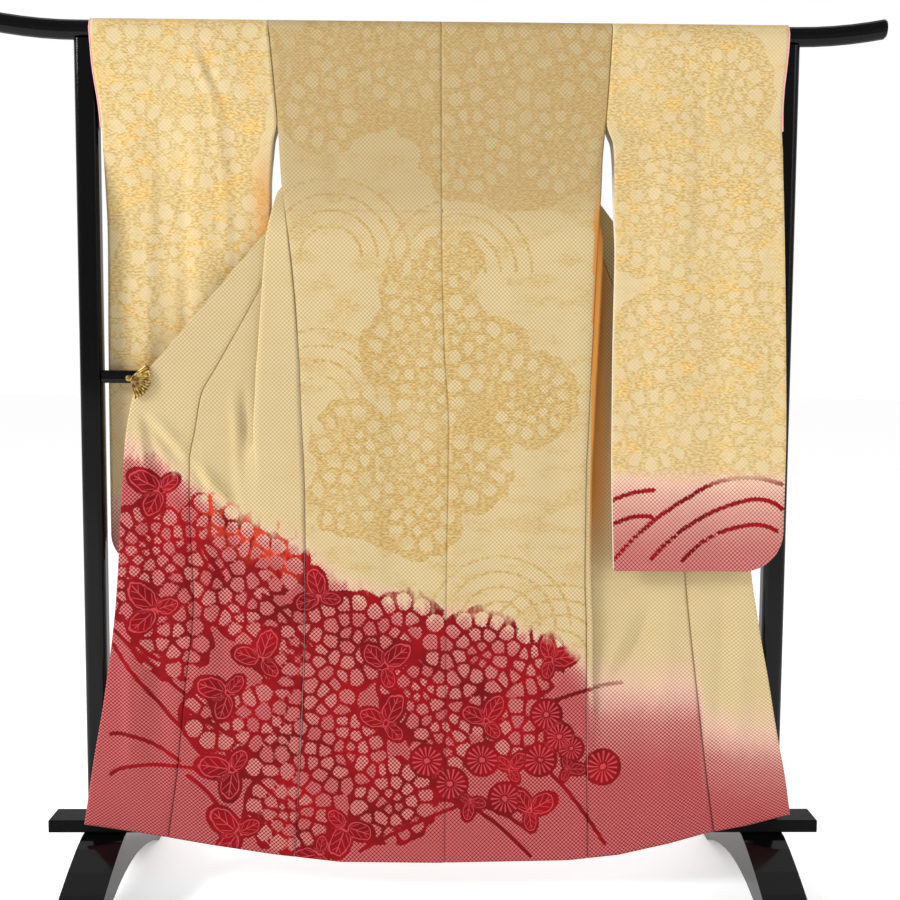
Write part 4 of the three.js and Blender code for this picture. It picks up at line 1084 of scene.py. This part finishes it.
def cream_cloth(s, gold, gild, tied, wide, ragged, streak, crinkle):
    """The ground: cream where it was tied, gold and crinkled where the gold bath reached, with painted warm
    light in the sleeves' amber streaks and painted shade on the body above the tuck.
    """
    on_sleeve = s.ramp(gild, 0.80, 0.95)
    cream = s.mix(tied, s.mix(on_sleeve, srgb(180, 155, 106), srgb(204, 180, 134)),
                  s.mix(on_sleeve, srgb(212, 196, 154), srgb(213, 195, 152)))
    grain = s.ramp(crinkle, 0.34, 0.66)
    body_gold = s.mix(grain, srgb(162, 126, 62), srgb(206, 174, 108))
    light_gold = s.mix(grain, srgb(186, 156, 98), srgb(213, 190, 138))
    # Amber streaks on the sleeves: partly the gold dye's own streaks, partly painted warm light that passes
    # and bounces between the sleeve's layers.
    amber_dye_and_bounce = s.mix(grain, srgb(198, 156, 86), srgb(224, 192, 126))
    sleeve_gold = s.mix(s.ramp(streak, 0.50, 0.66), light_gold, amber_dye_and_bounce)
    between = s.ramp(gold + (ragged - 0.5) * 0.5, 0.08, -0.10)
    strength = gild * s.ramp(wide, 0.25, 0.6, 0.70, 1.0)
    gilded = s.most(between * strength, s.ramp(streak, 0.46, 0.66) * strength * 0.6)
    ground = s.mix(gilded, cream, s.mix(on_sleeve, body_gold, sleeve_gold))
    # Painted shade: the body above the tuck is darkened towards a dull khaki; the sleeves are left as they
    # are.
    height = s.split(s.place())[2]
    upper = s.ramp(height, 1.29, 1.40, 0.0, 0.44) * s.ramp(on_sleeve, 1.0, 0.0)
    return s.mix(upper, ground, srgb(158, 136, 96))


def faded(s, ground, red, x, heat, gild, pale, tied, wide, ragged):
    """From the ground through a pinkish white into the bath."""
    airy = s.most(s.ramp(x, 0.26, 0.32), s.ramp(x, -0.56, -0.62))
    blush = s.ramp(heat + (wide - 0.5) * 0.3, -0.35, 0.12)
    white_pink = s.mix(tied, srgb(196, 134, 118), srgb(234, 204, 188))
    color = s.mix(blush * (airy * 0.45 + 0.42), ground, white_pink)
    uneven = heat + (ragged - 0.5) * s.ramp(x, 0.24, 0.30, 0.85, 0.12) + s.ramp(pale, 0.0, 1.0, 0.14, -0.04)
    softer = s.ramp(s.ramp(gild, 0.9, 1.0) * pale, 0.0, 1.0, 1.0, s.ramp(heat, 0.0, 1.6, 0.35, 0.85))
    return s.mix(s.ramp(uneven, -0.12, 0.26) * softer, color, red)


def silk_recipe():
    s = Recipe("shibori_silk")
    cloth = s.node("ShaderNodeUVMap", uv_map="cloth")
    x, z, _ = s.split(cloth)
    dots, gold, heat = s.attribute("dye")
    gild = s.attribute("motif")[2]
    sewn, tuck, painted_warm_shade_mask = s.attribute("seam")
    tied = tie_lattice(s, x, z)
    wide = s.noise(cloth, 9, 3)
    ragged = s.noise(cloth, 70, 3, (1.0, 0.45, 1.0))
    streak = s.noise(cloth, 26, 3, (0.5, 1.0, 1.0), 0.6)
    crinkle = s.noise(cloth, 300, 1, (0.42, 1.0, 1.0), 0.6)

    pale = s.ramp(dots + (tied - 0.5) * 0.14, -0.06, 0.10)
    red = red_cloth(s, x, heat, pale, tied, wide, ragged)
    ground = cream_cloth(s, gold, gild, tied, wide, ragged, streak, crinkle)
    color = faded(s, ground, red, x, heat, gild, pale, tied, wide, ragged)
    # Painted warm light and shade: amber where light comes through and bounces between gold silk layers in
    # the shadowed gaps.
    color = s.mix(painted_warm_shade_mask, color, srgb(206, 136, 58))

    # The lining's side of the wall, then painted shade along the lines where two panels are sewn and along
    # the tuck.
    height = s.split(s.place())[2]
    lining = s.mix(s.ramp(height, 0.55, 0.30), srgb(226, 214, 190), srgb(214, 140, 138))
    color = s.mix(s.ramp(s.attribute("reverse")[0], 0.5, 0.9), color, lining)
    # Painted shade: darker lines beside each seam and at the tuck, brown on cream and deep red in the red.
    seam_painted_shade = s.most(s.ramp(sewn, 3.0, 0.4, 0.0, 0.30), s.ramp(tuck, 2.6, 0.6, 0.0, 0.16))
    seam_shade_color = s.mix(s.ramp(heat, -0.1, 0.3), srgb(128, 88, 46), srgb(84, 6, 14))
    lump = tied * s.ramp(dots, -0.06, 0.10, 0.25, 1.0) + crinkle * s.ramp(gold, 0.10, -0.10, 0.0, 1.4)
    s.bump(lump, 0.55, TIE_HEIGHT)
    return s.finish(Base_Color=s.mix(seam_painted_shade, color, seam_shade_color), Roughness=0.75,
                    Specular_IOR_Level=0.14, Sheen_Weight=0.04, Sheen_Roughness=0.45)


silk = silk_recipe()
for name, piece in SILK.items():
    if not name.startswith("cuff"):
        piece.data.materials.append(silk)
print("silk nodes:", len(silk.node_tree.nodes))

# %% [markdown]
# The lining rolls round the wrist opening as a thin pink edge.

# %% Lining edge
edge_recipe = Recipe("lining_edge")
edge_weave = edge_recipe.noise(edge_recipe.place(), 1400, 2)
edge_recipe.bump(edge_weave, 0.3, 0.0003)
lining = edge_recipe.finish(Base_Color=edge_recipe.mix(edge_weave, srgb(226, 138, 148), srgb(240, 176, 178)),
                            Roughness=0.7)
for side in ("left", "right"):
    SILK[f"cuff_edge_{side}"].data.materials.append(lining)

# %% [markdown]
# Lacquer. The stand is wood under many polished coats, so it is nearly black and
# mirrors the room in soft streaks. A trace of unevenness keeps the streaks alive.
# The base board is the same black, rubbed to satin.

# %% Lacquer
def lacquer_recipe(name, deep, worn, rough_low, rough_high, swell, shine=0.18):
    r = Recipe(name)
    where = r.place()
    broad = r.noise(where, 6, 3)
    dust = r.noise(where, 420, 2)
    r.bump(r.noise(where, 22, 2), 0.12, swell)
    return r.finish(Base_Color=r.mix(broad, deep, worn), Specular_IOR_Level=shine,
                    Roughness=r.ramp(dust, 0.35, 0.75, rough_low, rough_high))


lacquer = lacquer_recipe("black_lacquer", srgb(4, 4, 5), srgb(9, 9, 10), 0.07, 0.15, 0.0005)
board_lacquer = lacquer_recipe("board_lacquer", srgb(6, 6, 7), srgb(12, 12, 13), 0.34, 0.50, 0.0004, 0.06)

# %% [markdown]
# Brass. The clips are small cast fans, yellow where they are rubbed and brown in
# the grooves.

# %% Brass
brass_recipe = Recipe("brass")
brass_at = brass_recipe.place()
brass_stain = brass_recipe.noise(brass_at, 160, 4)
brass_recipe.bump(brass_recipe.noise(brass_at, 900, 2), 0.2, 0.0002)
brass_color = brass_recipe.mix(brass_recipe.ramp(brass_stain, 0.35, 0.65), srgb(104, 78, 38),
                               srgb(196, 166, 98))
brass = brass_recipe.finish(
    Base_Color=brass_color, Metallic=1.0, Roughness=brass_recipe.ramp(brass_stain, 0.3, 0.7, 0.50, 0.36))
FINISHES = {"clip": brass, "base": board_lacquer, "post": lacquer, "foot": lacquer,
            "arm": lacquer, "top": lacquer}
for name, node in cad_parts.items():
    finish = FINISHES.get(name.split("_")[0])
    if finish:
        for slot in node.material_slots:
            slot.material = finish

# %% [markdown]
# Ribs of the clips. On the real clip each rib is cast with the fan, as a rounded bar
# with a bead at the rim. One bar repeats round the pivot, so a node tree turns it
# into all thirteen, with the fan's opening and reach as its inputs.

# %% Clip ribs
JAWS = {  # pivot x, jaw's face y, pivot z, first and last angle, way it faces
    "front_left": [-0.586, -0.0400, 1.030, -75, 38, -1], "back_left": [-0.586, -0.0316, 1.030, -75, 38, 1],
    "front_right": [0.597, 0.0006, 1.033, 142, 255, -1], "back_right": [0.597, 0.0086, 1.033, 142, 255, 1],
}
RIB_COUNT = 13
RIB_NEAR, RIB_FAR = 0.006, 0.0396
RIB_THIN, RIB_THICK, RIB_BEAD = 0.0005, 0.0010, 0.0014
JAW_FACE, JAW_TILT = 0.0027, 0.03
RIB_SOCKETS = {"Ribs": "NodeSocketInt", "First": "NodeSocketFloat", "Step": "NodeSocketFloat",
               "Way": "NodeSocketFloat", "Place": "NodeSocketVector", "Finish": "NodeSocketMaterial"}


def rib_tree():
    tree = bpy.data.node_groups.new("fan_ribs", "GeometryNodeTree")
    for label, kind in RIB_SOCKETS.items():
        tree.interface.new_socket(label, in_out="INPUT", socket_type=kind)
    tree.interface.new_socket("Mesh", in_out="OUTPUT", socket_type="NodeSocketGeometry")
    given = tree.nodes.new("NodeGroupInput").outputs

    def step(kind, operation=None, **inputs):
        node = tree.nodes.new(kind)
        if operation:
            node.operation = operation
        for key, value in inputs.items():
            sockets = node.inputs
            socket = sockets["ab".index(key)] if key in "ab" else sockets[key.replace("_", " ")]
            if isinstance(value, bpy.types.NodeSocket):
                tree.links.new(value, socket)
            else:
                socket.default_value = value
        return node

    bar = step("GeometryNodeMeshCone", Vertices=8, Radius_Top=RIB_THICK, Radius_Bottom=RIB_THIN,
               Depth=RIB_FAR - RIB_NEAR).outputs["Mesh"]
    bar = step("GeometryNodeTransform", Geometry=bar, Translation=(0, 0, RIB_NEAR)).outputs[0]
    bead = step("GeometryNodeMeshUVSphere", Segments=8, Rings=6, Radius=RIB_BEAD).outputs["Mesh"]
    bead = step("GeometryNodeTransform", Geometry=bead, Translation=(0, 0, RIB_FAR)).outputs[0]
    rib = tree.nodes.new("GeometryNodeJoinGeometry")
    for part in (bar, bead):
        tree.links.new(part, rib.inputs[0])
    lean = step("ShaderNodeMath", "MULTIPLY", a=given["Way"], b=-JAW_TILT).outputs[0]
    lean = step("ShaderNodeCombineXYZ", X=lean).outputs[0]
    rib = step("GeometryNodeTransform", Geometry=rib.outputs[0], Rotation=lean).outputs[0]
    places = step("GeometryNodeMeshLine", Count=given["Ribs"], Offset=(0, 0, 0)).outputs[0]
    count = tree.nodes.new("GeometryNodeInputIndex").outputs[0]
    swing = step("ShaderNodeMath", "MULTIPLY", a=count, b=given["Step"]).outputs[0]
    swing = step("ShaderNodeMath", "ADD", a=swing, b=given["First"]).outputs[0]
    swing = step("ShaderNodeMath", "SUBTRACT", a=math.pi / 2, b=swing).outputs[0]
    swing = step("ShaderNodeCombineXYZ", Y=swing).outputs[0]
    ribs = step("GeometryNodeInstanceOnPoints", Points=places, Instance=rib, Rotation=swing).outputs[0]
    ribs = step("GeometryNodeRealizeInstances", Geometry=ribs).outputs[0]
    ribs = step("GeometryNodeTransform", Geometry=ribs, Translation=given["Place"]).outputs[0]
    ribs = step("GeometryNodeSetMaterial", Geometry=ribs, Material=given["Finish"]).outputs[0]
    tree.links.new(ribs, tree.nodes.new("NodeGroupOutput").inputs[0])
    return tree


def made_by_nodes(name, tree, values):
    obj = bpy.data.objects.new(name, bpy.data.meshes.new(name))
    bpy.context.scene.collection.objects.link(obj)
    modifier = obj.modifiers.new("nodes", "NODES")
    modifier.node_group = tree
    for item in tree.interface.items_tree:
        if item.name in values:
            modifier[item.identifier] = values[item.name]
    seen = obj.evaluated_get(bpy.context.evaluated_depsgraph_get())
    mesh = bpy.data.meshes.new_from_object(seen)
    obj.modifiers.remove(modifier)
    obj.data = mesh
    return obj


RIBS = {}
fan_ribs = rib_tree()
for name, (x, y, z, first, last, way) in JAWS.items():
    opening = math.radians(last - first)
    RIBS[name] = made_by_nodes(f"clip_ribs_{name}", fan_ribs, {
        "Ribs": RIB_COUNT, "First": math.radians(first), "Step": opening / (RIB_COUNT - 1),
        "Way": float(way), "Place": (x, y + way * JAW_FACE, z), "Finish": brass})
    print("ribs", name, len(RIBS[name].data.polygons), "faces")

# %% [markdown]
# Base board. A joiner takes the edges off a board before it is lacquered, because
# lacquer wears through on a sharp edge. The edges are eased by two millimetres.

# %% Base board
BOARD_EASE = 0.002
low, high = (Vector(corner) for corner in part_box("base_board"))
board_mesh = bpy.data.meshes.new("eased_board")
plank = bmesh.new()
bmesh.ops.create_cube(plank, size=1.0)
bmesh.ops.transform(plank, verts=plank.verts,
                    matrix=Matrix.Translation((low + high) / 2) @ Matrix.Diagonal((*(high - low), 1.0)))
bmesh.ops.bevel(plank, geom=plank.edges[:], offset=BOARD_EASE, segments=3, profile=0.5, affect="EDGES")
plank.to_mesh(board_mesh)
plank.free()
board = bpy.data.objects.new("eased_board", board_mesh)
board_mesh.materials.append(board_lacquer)
bpy.context.scene.collection.objects.link(board)
print("board", [round(v, 3) for v in high - low])

# %% [markdown]
# Floor paint.

# %% Plain floor
def plain(name, color, rough):
    r = Recipe(name)
    return r.finish(Base_Color=color, Roughness=rough, Emission_Color=color, Emission_Strength=0.42)

# %% [markdown]
# The cut. The body strips run from hem to hem over the shoulder. Each made
# piece hangs from the root, and the frame's own copy of a piece is hidden where it has one.

# %% Pieces on the root
for name, piece in SILK.items():
    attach(piece, "root")
    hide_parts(name)

for name, piece in RIBS.items():
    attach(piece, "root")
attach(board, "root")
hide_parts("base_board")

# %% [markdown]
# A pale floor that runs out of sight, with soft daylight from all round and one
# large soft light from the upper left.

# %% Floor and light
bpy.ops.mesh.primitive_plane_add(size=60, location=(0, 0, 0))
floor = bpy.context.object
floor.name = "floor"
floor.data.materials.append(plain("studio_floor", srgb(244, 244, 244), 0.9))
floor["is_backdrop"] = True

world = bpy.data.worlds.new("studio")
bpy.context.scene.world = world
world.use_nodes = True
sky = world.node_tree
direction = sky.nodes.new("ShaderNodeTexCoord")
parts = sky.nodes.new("ShaderNodeSeparateXYZ")
sky.links.new(direction.outputs["Generated"], parts.inputs[0])
shading = sky.nodes.new("ShaderNodeMapRange")
for key, value in (("From Min", -0.25), ("From Max", 0.35), ("To Min", 0.32), ("To Max", 1.0)):
    shading.inputs[key].default_value = value
sky.links.new(parts.outputs["Y"], shading.inputs["Value"])
sky.links.new(shading.outputs[0], sky.nodes["Background"].inputs["Color"])
world.node_tree.nodes["Background"].inputs["Strength"].default_value = 1.0


def area_light(name, at, aim, size, power):
    data = bpy.data.lights.new(name, "AREA")
    data.shape = "RECTANGLE"
    data.size, data.size_y = size
    data.energy = power
    lamp = bpy.data.objects.new(name, data)
    lamp.location = at
    lamp.rotation_euler = (Vector(aim) - Vector(at)).to_track_quat("-Z", "Y").to_euler()
    bpy.context.scene.collection.objects.link(lamp)
    return lamp


LIGHTS = {  # place, aim, size and power in watts
    "key": ((-5.2, -2.8, 3.6), (0, 0, 0.9), (1.5, 1.5), 300),
    "fill": ((2.6, -2.4, 1.6), (0, 0, 0.8), (1.2, 2.0), 20),
    "left_strip": ((-2.5, -0.9, 0.95), (0, 0, 0.95), (0.16, 2.4), 16),
    "right_strip": ((2.5, -0.9, 0.95), (0, 0, 0.95), (0.16, 2.4), 18),
}
for name, settings in LIGHTS.items():
    area_light(name, *settings)

scene_view = bpy.context.scene.view_settings
scene_view.view_transform = "Standard"

# %% Size of the scene
low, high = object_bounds()
